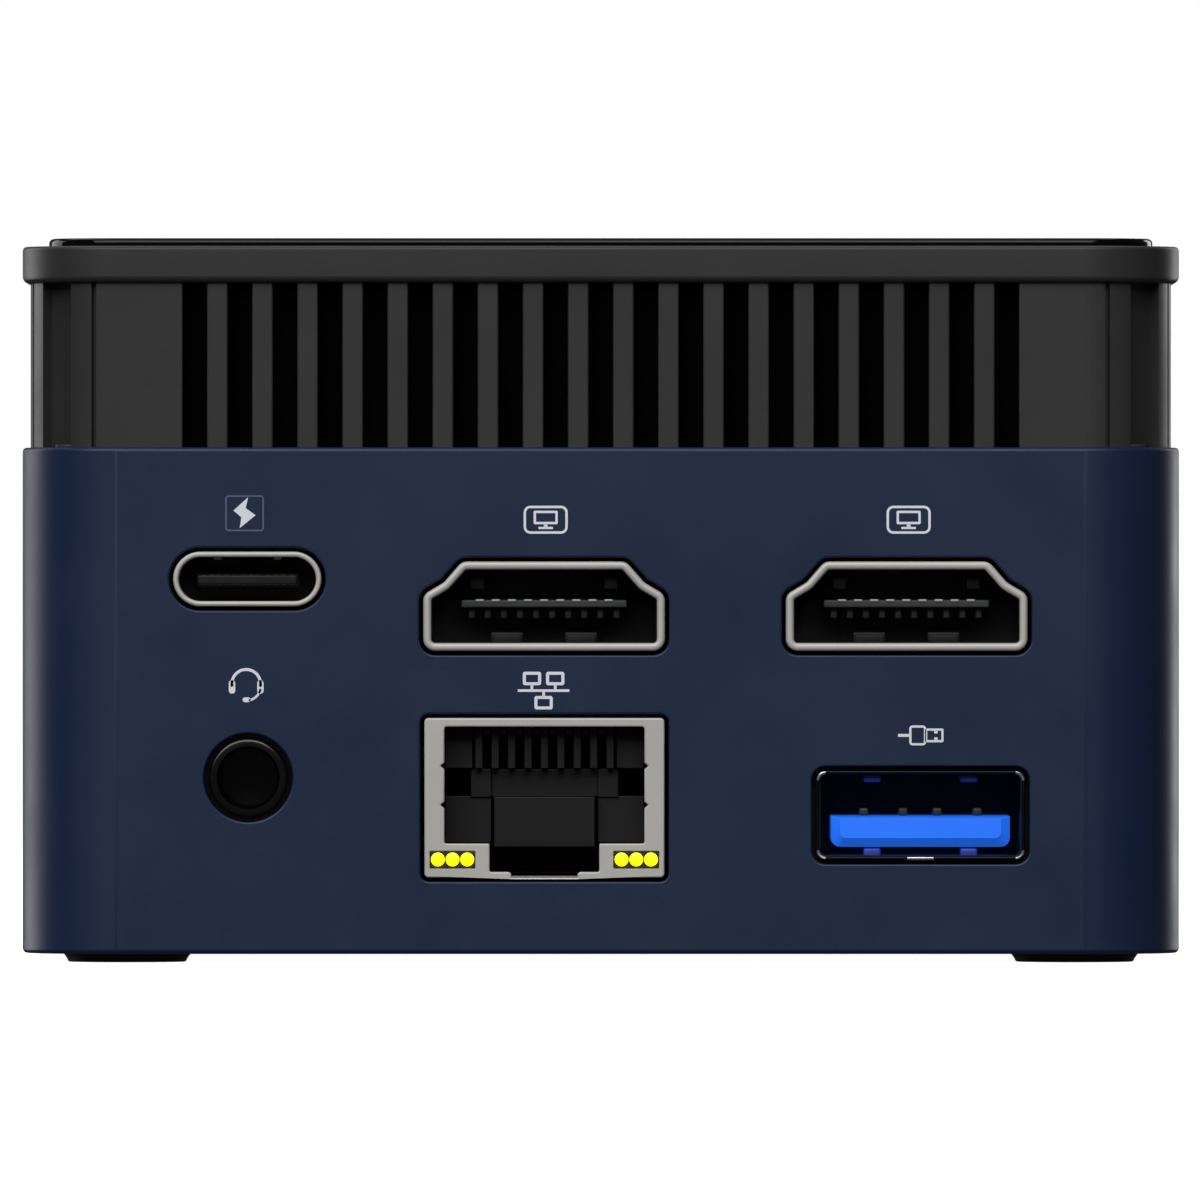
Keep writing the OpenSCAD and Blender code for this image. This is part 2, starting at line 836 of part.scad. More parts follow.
module heatsink_screws() {
    color("silver")
        at_corners(fan_pitch / 2, fan_pitch / 2)
            translate([0, 0, main_z])
                mirror([0, 0, 1])
                    screw(board_t + sink_z - main_top + sink_bite);
}

floor_t = 1;               // thickness of the fan's hub plate and spokes
spoke_w = 2.4;
spoke_n = 4;
tower_wall = 0.8;          // wall of the tube that holds the bearing
tower_h = 4.4;
head_sink = 0.2;           // how far the fan's screw heads lie below its face
spoke_lap = 1;             // how far a spoke reaches into the hub plate and the frame
fan_corner_r = 3;
module fan_frame() {
    color([0.09, 0.09, 0.1])
        translate([0, 0, fan_z]) {
            difference() {
                rounded_plate(fan_w, fan_w, fan_corner_r, fan_h);
                translate([0, 0, -cut])
                    cylinder(r = duct_r, h = fan_h + 2 * cut);
                at_corners(fan_pitch / 2, fan_pitch / 2) {
                    translate([0, 0, -cut])
                        cylinder(r = screw_r + screw_clear, h = fan_h + 2 * cut);
                    translate([0, 0, fan_h - head_h - head_sink])
                        cylinder(r = head_r + screw_clear, h = head_h + head_sink + cut);
                }
            }
            difference() {
                union() {
                    cylinder(r = hub_r, h = floor_t);
                    cylinder(r = bearing_r + tower_wall, h = tower_h);
                    for (i = [0 : spoke_n - 1])
                        rotate([0, 0, 45 + i * 360 / spoke_n])
                            translate([hub_r - spoke_lap, -spoke_w / 2, 0])
                                cube([duct_r - hub_r + 2 * spoke_lap, spoke_w, floor_t]);
                }
                translate([0, 0, floor_t])
                    cylinder(r = bearing_r, h = tower_h);
            }
        }
}

module fan_bearing() {
    color([0.7, 0.55, 0.3])
        translate([0, 0, fan_z + floor_t])
            difference() {
                cylinder(r = bearing_r, h = tower_h - floor_t);
                translate([0, 0, -cut])
                    cylinder(r = shaft_r + shaft_clear, h = tower_h + 2 * cut);
            }
}

stator_r = 7.6;
stator_h = 2.4;
pole_n = 6;
pole_gap = 1.8;            // between the tips of two poles
pole_root = 4.4;           // radius at which the poles part
module fan_stator() {
    color([0.72, 0.42, 0.2])
        translate([0, 0, fan_z + floor_t])
            difference() {
                cylinder(r = stator_r, h = stator_h);
                translate([0, 0, -cut])
                    cylinder(r = bearing_r + tower_wall, h = stator_h + 2 * cut);
                for (i = [0 : pole_n - 1])
                    rotate([0, 0, i * 360 / pole_n])
                        translate([pole_root, -pole_gap / 2, -cut])
                            cube([stator_r, pole_gap, stator_h + 2 * cut]);
            }
}

rotor_gap = 0.4;           // between the fan's floor and the turning parts
cup_wall = 1.2;
cup_roof = 1.1;
rotor_drop = 0.4;          // from the fan's upper face down to the hub's
rotor_top = fan_h - rotor_drop;
shaft_cover = 0.3;         // plastic left over the end of the shaft
boss_r = 1.5;              // boss under the hub's roof that grips the shaft
cup_z = floor_t + rotor_gap;
blade_t = 0.8;
cup_h = rotor_top - cup_z;
blade_inset = 0.2;         // the blades stop this far from the hub's top and bottom
blade_h = cup_h - 2 * blade_inset;
blade_start = 0.3;         // turn of the first blade, as a share of their spacing
blade_chord = (blade_h - blade_t * cos(blade_tilt)) / sin(blade_tilt);
module fan_rotor() {
    color([0.16, 0.16, 0.17])
        translate([0, 0, fan_z]) {
            difference() {
                translate([0, 0, cup_z])
                    cylinder(r = hub_r, h = cup_h);
                translate([0, 0, cup_z - cut])
                    cylinder(r = hub_r - cup_wall, h = cup_h - cup_roof + cut);
                translate([0, 0, cup_z])
                    cylinder(r = shaft_r, h = cup_h - shaft_cover);
            }
            difference() {
                translate([0, 0, tower_h + shaft_cover])
                    cylinder(r = boss_r, h = rotor_top - cup_roof - tower_h - shaft_cover + eps);
                cylinder(r = shaft_r, h = rotor_top - shaft_cover);
            }
            intersection() {
                for (i = [0 : blade_n - 1])
                    rotate([0, 0, (i + blade_start) * 360 / blade_n])
                        translate([hub_r - cup_wall / 2, 0, cup_z + cup_h / 2])
                            rotate([blade_tilt, 0, 0])
                                translate([0, -blade_chord / 2, -blade_t / 2])
                                    cube([duct_r - hub_r + cut, blade_chord, blade_t]);
                cylinder(r = rotor_r, h = fan_h);
            }
        }
}

shaft_lift = 0.1;          // between the fan's floor and the end of the shaft
module fan_shaft() {
    color("silver")
        translate([0, 0, fan_z + floor_t + shaft_lift])
            cylinder(r = shaft_r, h = rotor_top - floor_t - shaft_lift - shaft_cover);
}

module fan_screws() {
    color("silver")
        at_corners(fan_pitch / 2, fan_pitch / 2)
            translate([0, 0, fan_top - head_h - head_sink])
                screw(fan_h - head_h - head_sink + fan_bite);
}

// Lead from the fan's side down to its plug on the upper board
module fan_lead() {
    lead_r = 0.7;
    lead_x = fan_w / 2 + 2.2;
    lead_side = -10;
    lead_rise = 2;
    plug_w = 3;
    plug_d = 4;
    plug_h = 2.6;
    color([0.08, 0.08, 0.08])
        union() {
            wire([
                [fan_w / 2, lead_side, fan_z + lead_rise],
                [lead_x, lead_side, fan_z + lead_rise],
                [lead_x, lead_side, main_top + plug_h - eps]
            ], lead_r);
            translate([lead_x, lead_side - plug_d / 2, main_top])
                slab(plug_w, plug_d, plug_h);
        }
}

// ---------------------------------------------------------------- cards

card_t = 0.8;
card_gap = 2;              // between a card and its board
card_nut_r = 2;
card_notch_r = 1.6;
card_bite = 1;             // how far a card's screw reaches into its board
ssd_l = 42;
card_w = 22;
ssd_x = 0;
ssd_y = -5;
wifi_l = 30;
wifi_x = 3;
wifi_y = 2;
socket_l = 6;
socket_back = 4.5;         // how far an edge socket reaches past the end of its card
socket_lip = 0.7;          // plastic beyond the card's far face

// Card along X with a half-round notch at its free (+X) end
module card(l) {
    difference() {
        translate([-l / 2, -card_w / 2, 0])
            cube([l, card_w, card_t]);
        translate([l / 2, 0, -cut])
            cylinder(r = card_notch_r, h = card_t + 2 * cut);
    }
}

flash_x = [-10, 6];        // middles of the two memory chips
flash_w = 12;
flash_d = 16;
flash_h = 1.1;
module ssd_card() {
    color([0.06, 0.3, 0.2])
        translate([ssd_x, ssd_y, io_z - card_gap - card_t])
            union() {
                card(ssd_l);
                for (x = flash_x)
                    translate([x, -flash_d / 2, -flash_h])
                        slab(flash_w, flash_d, flash_h + eps);
            }
}

// Edge socket that grips the -X end of a card lying at height z
module card_socket(x, y, low, high, z) {
    difference() {
        translate([x - socket_back, y - card_w / 2, low])
            cube([socket_l, card_w, high - low]);
        translate([x, y - card_w / 2 - cut, z])
            cube([socket_l, card_w + 2 * cut, card_t]);
    }
}

module ssd_socket() {
    color([0.12, 0.12, 0.12])
        card_socket(ssd_x - ssd_l / 2, ssd_y, io_z - card_gap - card_t - socket_lip, io_z,
            io_z - card_gap - card_t);
}

shield_x = -2;
shield_w = 14;
shield_h = 1.2;
plug_x = 9;                // antenna plugs, from the middle of the wireless card
plug_y = 4;
plug_r = 1;
plug_rise = 0.8;
module wifi_card() {
    color([0.06, 0.2, 0.3])
        translate([wifi_x, wifi_y, io_top + card_gap])
            union() {
                card(wifi_l);
                translate([shield_x, -shield_w / 2, card_t - eps])
                    slab(shield_w, shield_w, shield_h);
                for (side = [-1, 1])
                    translate([plug_x, side * plug_y, card_t - eps])
                        cylinder(r = plug_r, h = plug_rise);
            }
}

module wifi_socket() {
    color([0.12, 0.12, 0.12])
        card_socket(wifi_x - wifi_l / 2, wifi_y, io_top, io_top + card_gap + card_t + socket_lip,
            io_top + card_gap);
}

module card_screws() {
    color("silver") {
        translate([ssd_x + ssd_l / 2, ssd_y, io_z - card_gap - card_t])
            mirror([0, 0, 1])
                screw(card_t + card_gap + card_bite);
        translate([wifi_x + wifi_l / 2, wifi_y, io_top + card_gap + card_t])
            screw(card_t + card_gap + card_bite);
    }
}

// ---------------------------------------------------------------- antennas, battery

strip_t = 0.3;
strip_l = 24;
strip_h = 2.6;
strip_drop = 0.2;          // from the tops of the posts down to the strips
strip_z = post_top - strip_h - strip_drop;
aerial_r = 0.4;            // antenna lead
aerial_rise = 1;           // from the plugs up to the level run, and up each strip
aerial_inset = 1;          // from the wall to the upright run
function lead_y(side) = wifi_y + side * plug_y;

module antenna_strips() {
    color([0.1, 0.1, 0.12])
        for (side = [-1, 1])
            translate([side * (room_w - strip_t / 2), lead_y(side), strip_z + strip_h / 2])
                cube([strip_t, strip_l, strip_h], center = true);
}

module antenna_leads() {
    start_z = io_top + card_gap + card_t + plug_rise - eps;
    level = start_z + aerial_rise;
    edge_x = room_w - aerial_inset;
    color([0.12, 0.12, 0.12])
        for (side = [-1, 1])
            wire([
                [wifi_x + plug_x, lead_y(side), start_z],
                [wifi_x + plug_x, lead_y(side), level],
                [side * edge_x, lead_y(side), level],
                [side * edge_x, lead_y(side), strip_z + aerial_rise],
                [side * (room_w - strip_t), lead_y(side), strip_z + aerial_rise]
            ], aerial_r);
}

battery_x = -24;
battery_y = -2;
battery_r = 6.25;
battery_h = 2;
module clock_battery() {
    color("silver")
        translate([battery_x, battery_y, io_top])
            cylinder(r = battery_r, h = battery_h);
}

// ---------------------------------------------------------------- sockets

front = -half_d;           // outer face of the socket wall

// Two tabs folded up from the top of a shell to the board at height rise
tab_w = 1.6;
tab_d = 2;
tab_lap = 0.2;             // how far a tab reaches into the shell
module solder_tabs(spread, top, rise, depth) {
    for (side = [-1, 1])
        translate([side * spread, front + depth / 2, top - tab_lap])
            slab(tab_w, tab_d, rise - top + tab_lap);
}

usb_c_tongue_w = 6.6;
usb_c_tongue_t = 0.7;
usb_c_back = 5.4;          // depth at which the insulator fills the shell
usb_c_tongue_face = 0.9;   // depth of the tongue's tip
usb_c_tab_x = 2.4;
module usb_c_shell() {
    color([0.8, 0.8, 0.8])
        at_usb_c()
            union() {
                inward(front, usb_c_depth)
                    difference() {
                        usb_c_outline(0);
                        usb_c_outline(-shell_t);
                    }
                solder_tabs(usb_c_tab_x, usb_c_h / 2, usb_c_drop, usb_c_depth);
            }
}
module usb_c_core() {
    color([0.08, 0.08, 0.08])
        at_usb_c()
            union() {
                inward(front + usb_c_back, usb_c_depth - usb_c_back)
                    usb_c_outline(-shell_t);
                inward(front + usb_c_tongue_face, usb_c_back)
                    square([usb_c_tongue_w, usb_c_tongue_t], center = true);
            }
}

hdmi_rim = 0.5;
hdmi_tongue_w = 10.4;
hdmi_tongue_z = -0.55;     // underside of the tongue, from the socket's centre
hdmi_tongue_t = 0.8;
hdmi_tongue_face = 1.6;
hdmi_back = 6.6;
hdmi_tab_x = 3.6;
hdmi_pitch = 1;
hdmi_pin_n = 9;            // on top of the tongue; there is one more below it
hdmi_pin_w = 0.35;
hdmi_pin_t = 0.12;
hdmi_pin_l = 4.6;
hdmi_pin_face = 1.8;
module hdmi_shell(x) {
    color([0.75, 0.73, 0.71])
        at_hdmi(x)
            union() {
                inward(front, hdmi_depth)
                    difference() {
                        hdmi_outline(0);
                        hdmi_outline(-hdmi_rim);
                    }
                solder_tabs(hdmi_tab_x, hdmi_top, hdmi_drop, hdmi_depth);
            }
}
module hdmi_core(x) {
    color([0.06, 0.06, 0.06])
        at_hdmi(x)
            union() {
                inward(front + hdmi_back, hdmi_depth - hdmi_back)
                    hdmi_outline(-hdmi_rim);
                translate([0, front + hdmi_tongue_face, hdmi_tongue_z])
                    slab(hdmi_tongue_w, hdmi_back - hdmi_tongue_face + eps, hdmi_tongue_t);
            }
}
// Row of n contacts side by side, with their undersides at height z
module hdmi_row(n, z) {
    for (i = [0 : n - 1])
        translate([(i - (n - 1) / 2) * hdmi_pitch, front + hdmi_pin_face, z])
            slab(hdmi_pin_w, hdmi_pin_l, hdmi_pin_t);
}
module hdmi_contacts(x) {
    color([0.85, 0.8, 0.65])
        at_hdmi(x) {
            hdmi_row(hdmi_pin_n, hdmi_tongue_z + hdmi_tongue_t);
            hdmi_row(hdmi_pin_n + 1, hdmi_tongue_z - hdmi_pin_t);
        }
}
module hdmi_left_shell() { hdmi_shell(hdmi_left_x); }
module hdmi_left_core() { hdmi_core(hdmi_left_x); }
module hdmi_left_contacts() { hdmi_contacts(hdmi_left_x); }
module hdmi_right_shell() { hdmi_shell(hdmi_right_x); }
module hdmi_right_core() { hdmi_core(hdmi_right_x); }
module hdmi_right_contacts() { hdmi_contacts(hdmi_right_x); }

jack_body_w = 6.4;
jack_body_low = 2.9;       // from the bore's axis down to the body's underside
jack_body_gap = 0.1;       // between the body and the wall
jack_collar_l = 1;         // how far the collar reaches past the wall
jack_bore_l = 11;
jack_face = 0.1;           // depth of the collar's face below the wall
jack_pin_w = 0.6;
jack_pin_d = 1.4;
jack_pin_x = 2.6;
jack_pin_low = 1;          // from the bore's axis down to a contact's lower end
jack_pin_y = [4, 8];
module jack_body() {
    color([0.06, 0.06, 0.06])
        at_jack()
            difference() {
                union() {
                    inward(front + jack_face, wall + jack_collar_l)
                        circle(jack_collar_r);
                    translate([0, front + wall + jack_body_gap, -jack_body_low])
                        slab(jack_body_w, jack_depth - wall - jack_body_gap, jack_body_low + jack_drop);
                }
                inward(front - cut, jack_bore_l + cut + jack_face)
                    circle(jack_r);
                jack_pins(thread_gap);
            }
}
// The jack's contacts, or with grow the slots they sit in
module jack_pins(grow) {
    for (side = [-1, 1], y = jack_pin_y)
        translate([side * jack_pin_x, front + y - grow, -jack_pin_low - grow])
            slab(jack_pin_w + 2 * grow, jack_pin_d + 2 * grow, jack_pin_low + jack_drop + grow);
}
module jack_springs() {
    color([0.85, 0.72, 0.4])
        at_jack()
            jack_pins(0);
}

lan_well_depth = 12;
lan_comb_z = 1.9;          // lowest point of the contacts, from the socket's centre
lan_pitch = 1.02;
lan_pin_n = 8;
lan_pin_w = 0.4;
lan_pin_t = 0.3;
lan_pin_face = 2.2;
lan_pin_run = 7;
lamp_depth = 3;
lamp_face = 0.12;          // depth of a lamp window's face below the shield's
dot_face = 0.04;
dot_r = 0.44;
dot_pitch = 0.92;
dot_t = 0.2;
module lan_shield() {
    color([0.8, 0.8, 0.78])
        at_lan()
            union() {
                inward(front, lan_front_t)
                    difference() {
                        lan_outline(0);
                        polygon(lan_well);
                        lamp_outlines(thread_gap);
                    }
                inward(front, lan_depth)
                    difference() {
                        lan_outline(0);
                        lan_outline(-shell_t);
                    }
                inward(front + lan_depth - shell_t, shell_t)
                    lan_outline(0);
            }
}
module lan_core() {
    color([0.07, 0.07, 0.07])
        at_lan()
            difference() {
                inward(front + lan_front_t, lan_depth - lan_front_t - shell_t)
                    lan_outline(-shell_t);
                inward(front, lan_well_depth)
                    polygon(lan_well);
                inward(front, lamp_depth)
                    lamp_outlines(thread_gap);
            }
}
// Spring contacts, each slanting down from the roof of the well
module lan_contacts() {
    color([0.9, 0.75, 0.35])
        at_lan()
            for (i = [0 : lan_pin_n - 1])
                translate([(i - (lan_pin_n - 1) / 2) * lan_pitch, front + lan_pin_face, lan_roof])
                    rotate([-atan2(lan_roof - lan_comb_z, lan_pin_run), 0, 0])
                        translate([0, 0, -lan_pin_t])
                            slab(lan_pin_w, lan_pin_run, lan_pin_t);
}
// Lamp windows with three lit dots on each
module lan_lamps() {
    color([0.75, 0.75, 0.1])
        at_lan() {
            inward(front + lamp_face, lamp_depth - lamp_face)
                lamp_outlines(0);
            for (side = [-1, 1], i = [-1 : 1])
                translate([side * lamp_x + i * dot_pitch, 0, -lamp_drop])
                    inward(front + dot_face, dot_t)
                        circle(dot_r);
        }
}

usb_tongue_w = 11.1;
usb_tongue_t = 1.92;
usb_tongue_z = -1.96;      // underside of the tongue, from the socket's centre
usb_tongue_face = 0.6;
usb_back = 9.6;
usb_plate_t = 0.8;
usb_riser_gap = 0.6;       // between the wall and the riser above the shell
usb_pin_x = [-3.5, -1, 1, 3.5];
usb_pin_w = 0.9;
usb_pin_l = 7;
usb_pin_t = 0.15;
usb_pin_face = 1.6;
module usb_shell() {
    inward(front, usb_depth)
        difference() {
            usb_outline(0);
            usb_outline(-shell_t);
        }
}
// Insulator: the tongue, the block behind it and the riser up to the board
module usb_core() {
    union() {
        inward(front + usb_back, usb_depth - usb_back + eps)
            usb_outline(-shell_t);
        translate([0, front + usb_tongue_face, usb_tongue_z])
            slab(usb_tongue_w, usb_back - usb_tongue_face + eps, usb_tongue_t);
        translate([0, front + usb_depth, -usb_h / 2])
            slab(usb_w, usb_plate_t, usb_h / 2 + usb_drop);
        translate([0, front + wall + usb_riser_gap, usb_h / 2])
            slab(usb_w, usb_depth - wall - usb_riser_gap + eps, usb_drop - usb_h / 2);
    }
}
// Four contacts on the tongue's upper face
module usb_pins() {
    for (x = usb_pin_x)
        translate([x, front + usb_pin_face, usb_tongue_z + usb_tongue_t])
            slab(usb_pin_w, usb_pin_l, usb_pin_t);
}
module usb_rear_shell() {
    color([0.8, 0.8, 0.8])
        at_usb_rear()
            usb_shell();
}
module usb_rear_core() {
    color([0.12, 0.45, 0.95])
        at_usb_rear()
            usb_core();
}
module usb_front_shells() {
    color([0.8, 0.8, 0.8])
        at_usb_front()
            usb_shell();
}
module usb_front_cores() {
    color([0.12, 0.45, 0.95])
        at_usb_front()
            usb_core();
}
module usb_contacts() {
    color([0.8, 0.78, 0.7]) {
        at_usb_rear()
            usb_pins();
        at_usb_front()
            usb_pins();
    }
}

// ---------------------------------------------------------------- power button

stem_l = 1.8;
stem_r = 1.3;
stem_gap = 0.02;
switch_y = lip_y - lip_t - stem_l - stem_gap;   // outer end of the plunger
plunger_r = 1.1;
plunger_out = 0.9;         // how far the plunger stands out of its switch
plunger_l = 2.2;
switch_w = 6;
switch_d = 3.6;
switch_h = 7;
plunger_gap = 0.1;         // round the plunger in its switch
plunger_slack = 0.3;       // behind the plunger when it is pressed right in

// Round bar along Y from y_in to y_out, at the button's height
module button_bar(r, y_in, y_out) {
    translate([0, y_out, button_z])
        rotate([90, 0, 0])
            cylinder(r = r, h = y_out - y_in);
}

module power_button() {
    color([0.25, 0.26, 0.28])
        union() {
            button_bar(button_r, lip_y - eps, button_y);
            button_bar(button_r + button_lip, lip_y - lip_t, lip_y);
            button_bar(stem_r, lip_y - lip_t - stem_l, lip_y - lip_t + eps);
        }
}

module button_switch() {
    face = switch_y - plunger_out;
    color([0.15, 0.15, 0.15])
        difference() {
            translate([0, face - switch_d, io_top])
                slab(switch_w, switch_d, switch_h);
            button_bar(plunger_r + plunger_gap, switch_y - plunger_l - button_travel - plunger_slack,
                face + cut);
        }
}

module switch_plunger() {
    color([0.85, 0.85, 0.85])
        button_bar(plunger_r, switch_y - plunger_l, switch_y);
}

module power_lamp() {
    pipe_l = 3.6;
    pipe_y = half_d - 0.1;
    base_w = 2;
    base_d = 1.5;
    color([0.8, 0.9, 1])
        union() {
            translate([lamp_side, pipe_y, button_z])
                rotate([90, 0, 0])
                    cylinder(r = lamp_pipe_r, h = pipe_l);
            translate([lamp_side, pipe_y - pipe_l - base_d + eps, io_top])
                slab(base_w, base_d, button_rise + base_w / 2);
        }
}

lower_case();
bottom_cover();
vent_ring();
top_cap();
top_panel();
foot_rear_left();
foot_rear_right();
foot_front_left();
foot_front_right();
cover_screws();
ring_screws();
main_board();
io_board();
board_spacers();
board_screws();
board_link();
processor();
memory_chips();
power_chokes();
thermal_pad();
heatsink();
heatsink_screws();
fan_frame();
fan_stator();
fan_rotor();
fan_shaft();
fan_bearing();
fan_screws();
fan_lead();
ssd_card();
ssd_socket();
card_screws();
wifi_card();
wifi_socket();
antenna_strips();
antenna_leads();
clock_battery();
usb_c_shell();
usb_c_core();
hdmi_left_shell();
hdmi_left_core();
hdmi_left_contacts();
hdmi_right_shell();
hdmi_right_core();
hdmi_right_contacts();
jack_body();
jack_springs();
lan_shield();
lan_core();
lan_contacts();
lan_lamps();
usb_rear_shell();
usb_rear_core();
usb_front_shells();
usb_front_cores();
usb_contacts();
power_button();
button_switch();
switch_plunger();
power_lamp();
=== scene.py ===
"""Looks of a palm-sized mini computer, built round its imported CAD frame.

Every shell, socket and printed mark is a surface worked out with numpy: an outline
made of arcs, carried through a profile of (inset, depth) steps. Lengths are in
millimetres until a mesh is made, which is in metres like the frame.
"""
import json
import logging
import math
from dataclasses import dataclass, field
from enum import Enum
from typing import Callable, Sequence

import bmesh
import bpy
import numpy as np
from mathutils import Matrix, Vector
from mathutils.geometry import delaunay_2d_cdt


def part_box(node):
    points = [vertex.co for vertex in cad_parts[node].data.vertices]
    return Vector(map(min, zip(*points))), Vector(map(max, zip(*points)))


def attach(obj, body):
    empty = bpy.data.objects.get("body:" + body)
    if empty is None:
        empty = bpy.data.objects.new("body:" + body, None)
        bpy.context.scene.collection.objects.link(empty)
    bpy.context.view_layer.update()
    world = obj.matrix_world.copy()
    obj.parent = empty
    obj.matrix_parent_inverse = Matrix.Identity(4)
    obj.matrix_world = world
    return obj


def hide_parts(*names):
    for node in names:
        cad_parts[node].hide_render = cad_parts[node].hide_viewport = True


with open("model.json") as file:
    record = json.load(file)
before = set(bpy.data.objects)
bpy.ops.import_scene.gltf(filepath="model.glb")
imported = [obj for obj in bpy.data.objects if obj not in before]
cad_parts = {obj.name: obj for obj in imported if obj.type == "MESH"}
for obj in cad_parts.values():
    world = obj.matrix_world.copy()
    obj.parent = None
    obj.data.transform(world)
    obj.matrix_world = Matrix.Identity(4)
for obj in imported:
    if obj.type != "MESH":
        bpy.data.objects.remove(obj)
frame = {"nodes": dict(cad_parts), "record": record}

LOG = logging.getLogger("mini_pc")
MM = 0.001
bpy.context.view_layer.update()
BASE = "base"


# ---------------------------------------------------------------- surfaces


@dataclass(frozen=True)
class Outline:
    """Closed anticlockwise outline made of arcs that straight runs join.

    Point i lies at centre[i] + radius[i] * normal[i]. The radius is positive on an
    outer corner and negative on an inner one, so that moving the whole outline in by
    d only takes d from every radius. Once the radius has run out, the corner's points
    stay together at centre + radius * mitre, where its two straight runs meet.
    """

    centre: np.ndarray
    radius: np.ndarray
    normal: np.ndarray
    mitre: np.ndarray

    def at(self, inset: float) -> np.ndarray:
        """Points of the outline moved in by inset, as an (n, 2) array."""
        left = (self.radius - inset)[:, None]
        spent = left * self.radius[:, None] < 0
        return self.centre + left * np.where(spent, self.mitre, self.normal)

    def grown(self, by: float) -> "Outline":
        """The outline moved out by a distance."""
        return Outline(self.centre, self.radius + by, self.normal, self.mitre)

    def moved(self, x: float, y: float) -> "Outline":
        """The outline shifted by (x, y)."""
        return Outline(self.centre + np.array([x, y]), self.radius, self.normal, self.mitre)

    def turned(self, angle: float) -> "Outline":
        """The outline turned about the origin by an angle in radians."""
        c, s = math.cos(angle), math.sin(angle)
        turn = np.array([[c, s], [-s, c]])
        return Outline(self.centre @ turn, self.radius, self.normal @ turn, self.mitre @ turn)


def unit(rows: np.ndarray) -> np.ndarray:
    """Each row scaled to length one."""
    return rows / np.linalg.norm(rows, axis=1, keepdims=True)


def rounded(points: Sequence[Sequence[float]], radius: float | Sequence[float], steps: int = 6) -> Outline:
    """Polygon with round corners.

    At each corner the arc touches both edges: its centre is the corner moved back
    along the incoming edge by radius * tan(half the turn), then sideways by the
    radius, and its normal turns evenly from one edge's to the next one's.

    Args:
        points: the corners, anticlockwise.
        radius: one radius for all the corners, or one for each.
        steps: points on each arc.

    Returns:
        The outline, with steps points for each corner.
    """
    corner = np.asarray(points, float)
    size = np.broadcast_to(np.asarray(radius, float), len(corner))
    come = unit(corner - np.roll(corner, 1, axis=0))
    leave = unit(np.roll(corner, -1, axis=0) - corner)
    turn = np.arctan2(come[:, 0] * leave[:, 1] - come[:, 1] * leave[:, 0], (come * leave).sum(axis=1))
    side = np.sign(turn)
    out = np.stack([come[:, 1], -come[:, 0]], axis=1)
    back = size * np.tan(np.abs(turn) / 2)
    centre = corner - come * back[:, None] - out * (side * size)[:, None]
    angle = np.arctan2(out[:, 1], out[:, 0])[:, None] + turn[:, None] * np.linspace(0, 1, steps)
    normal = np.stack([np.cos(angle), np.sin(angle)], axis=2)
    mitre = normal[:, [0]] + normal[:, [-1]]
    mitre = mitre / (1 + (normal[:, [0]] * normal[:, [-1]]).sum(axis=2, keepdims=True))
    return Outline(np.repeat(centre, steps, axis=0), np.repeat(side * size, steps), normal.reshape(-1, 2),
                   np.repeat(mitre, steps, axis=1).reshape(-1, 2))


def rectangle(width: float, height: float, radius: float, steps: int = 6) -> Outline:
    """Rectangle with round corners, centred on the origin."""
    x, y = width / 2, height / 2
    return rounded([(-x, -y), (x, -y), (x, y), (-x, y)], radius, steps)


def circle(radius: float, steps: int = 48) -> Outline:
    """Circle round the origin: every normal points away from the one centre."""
    angle = np.arange(steps) * 2 * math.pi / steps
    normal = np.stack([np.cos(angle), np.sin(angle)], axis=1)
    return Outline(np.zeros((steps, 2)), np.full(steps, radius), normal, normal)


def quarter(start: tuple[float, float], end: tuple[float, float], bulge_first: bool, steps: int = 5) -> list:
    """Quarter of an ellipse between two (inset, depth) points.

    Args:
        start: where it starts.
        end: where it ends.
        bulge_first: True if it leaves start along the inset, False along the depth.
        steps: points on it.

    Returns:
        The points: one coordinate runs as the sine of the angle, the other as one
        less the cosine.
    """
    angle = np.linspace(0, math.pi / 2, steps)
    fast, slow = np.sin(angle), 1 - np.cos(angle)
    a, b = (fast, slow) if bulge_first else (slow, fast)
    across = start[0] + (end[0] - start[0]) * a
    along = start[1] + (end[1] - start[1]) * b
    return list(zip(across.tolist(), along.tolist()))


Placing = Callable[[np.ndarray, np.ndarray, np.ndarray], np.ndarray]


def upright(x: float = 0.0, y: float = 0.0) -> Placing:
    """Placing for outlines in plan: (u, v, w) goes to (x + u, y + v, w)."""
    return lambda u, v, w: np.stack([x + u, y + v, w + 0 * u], axis=-1)


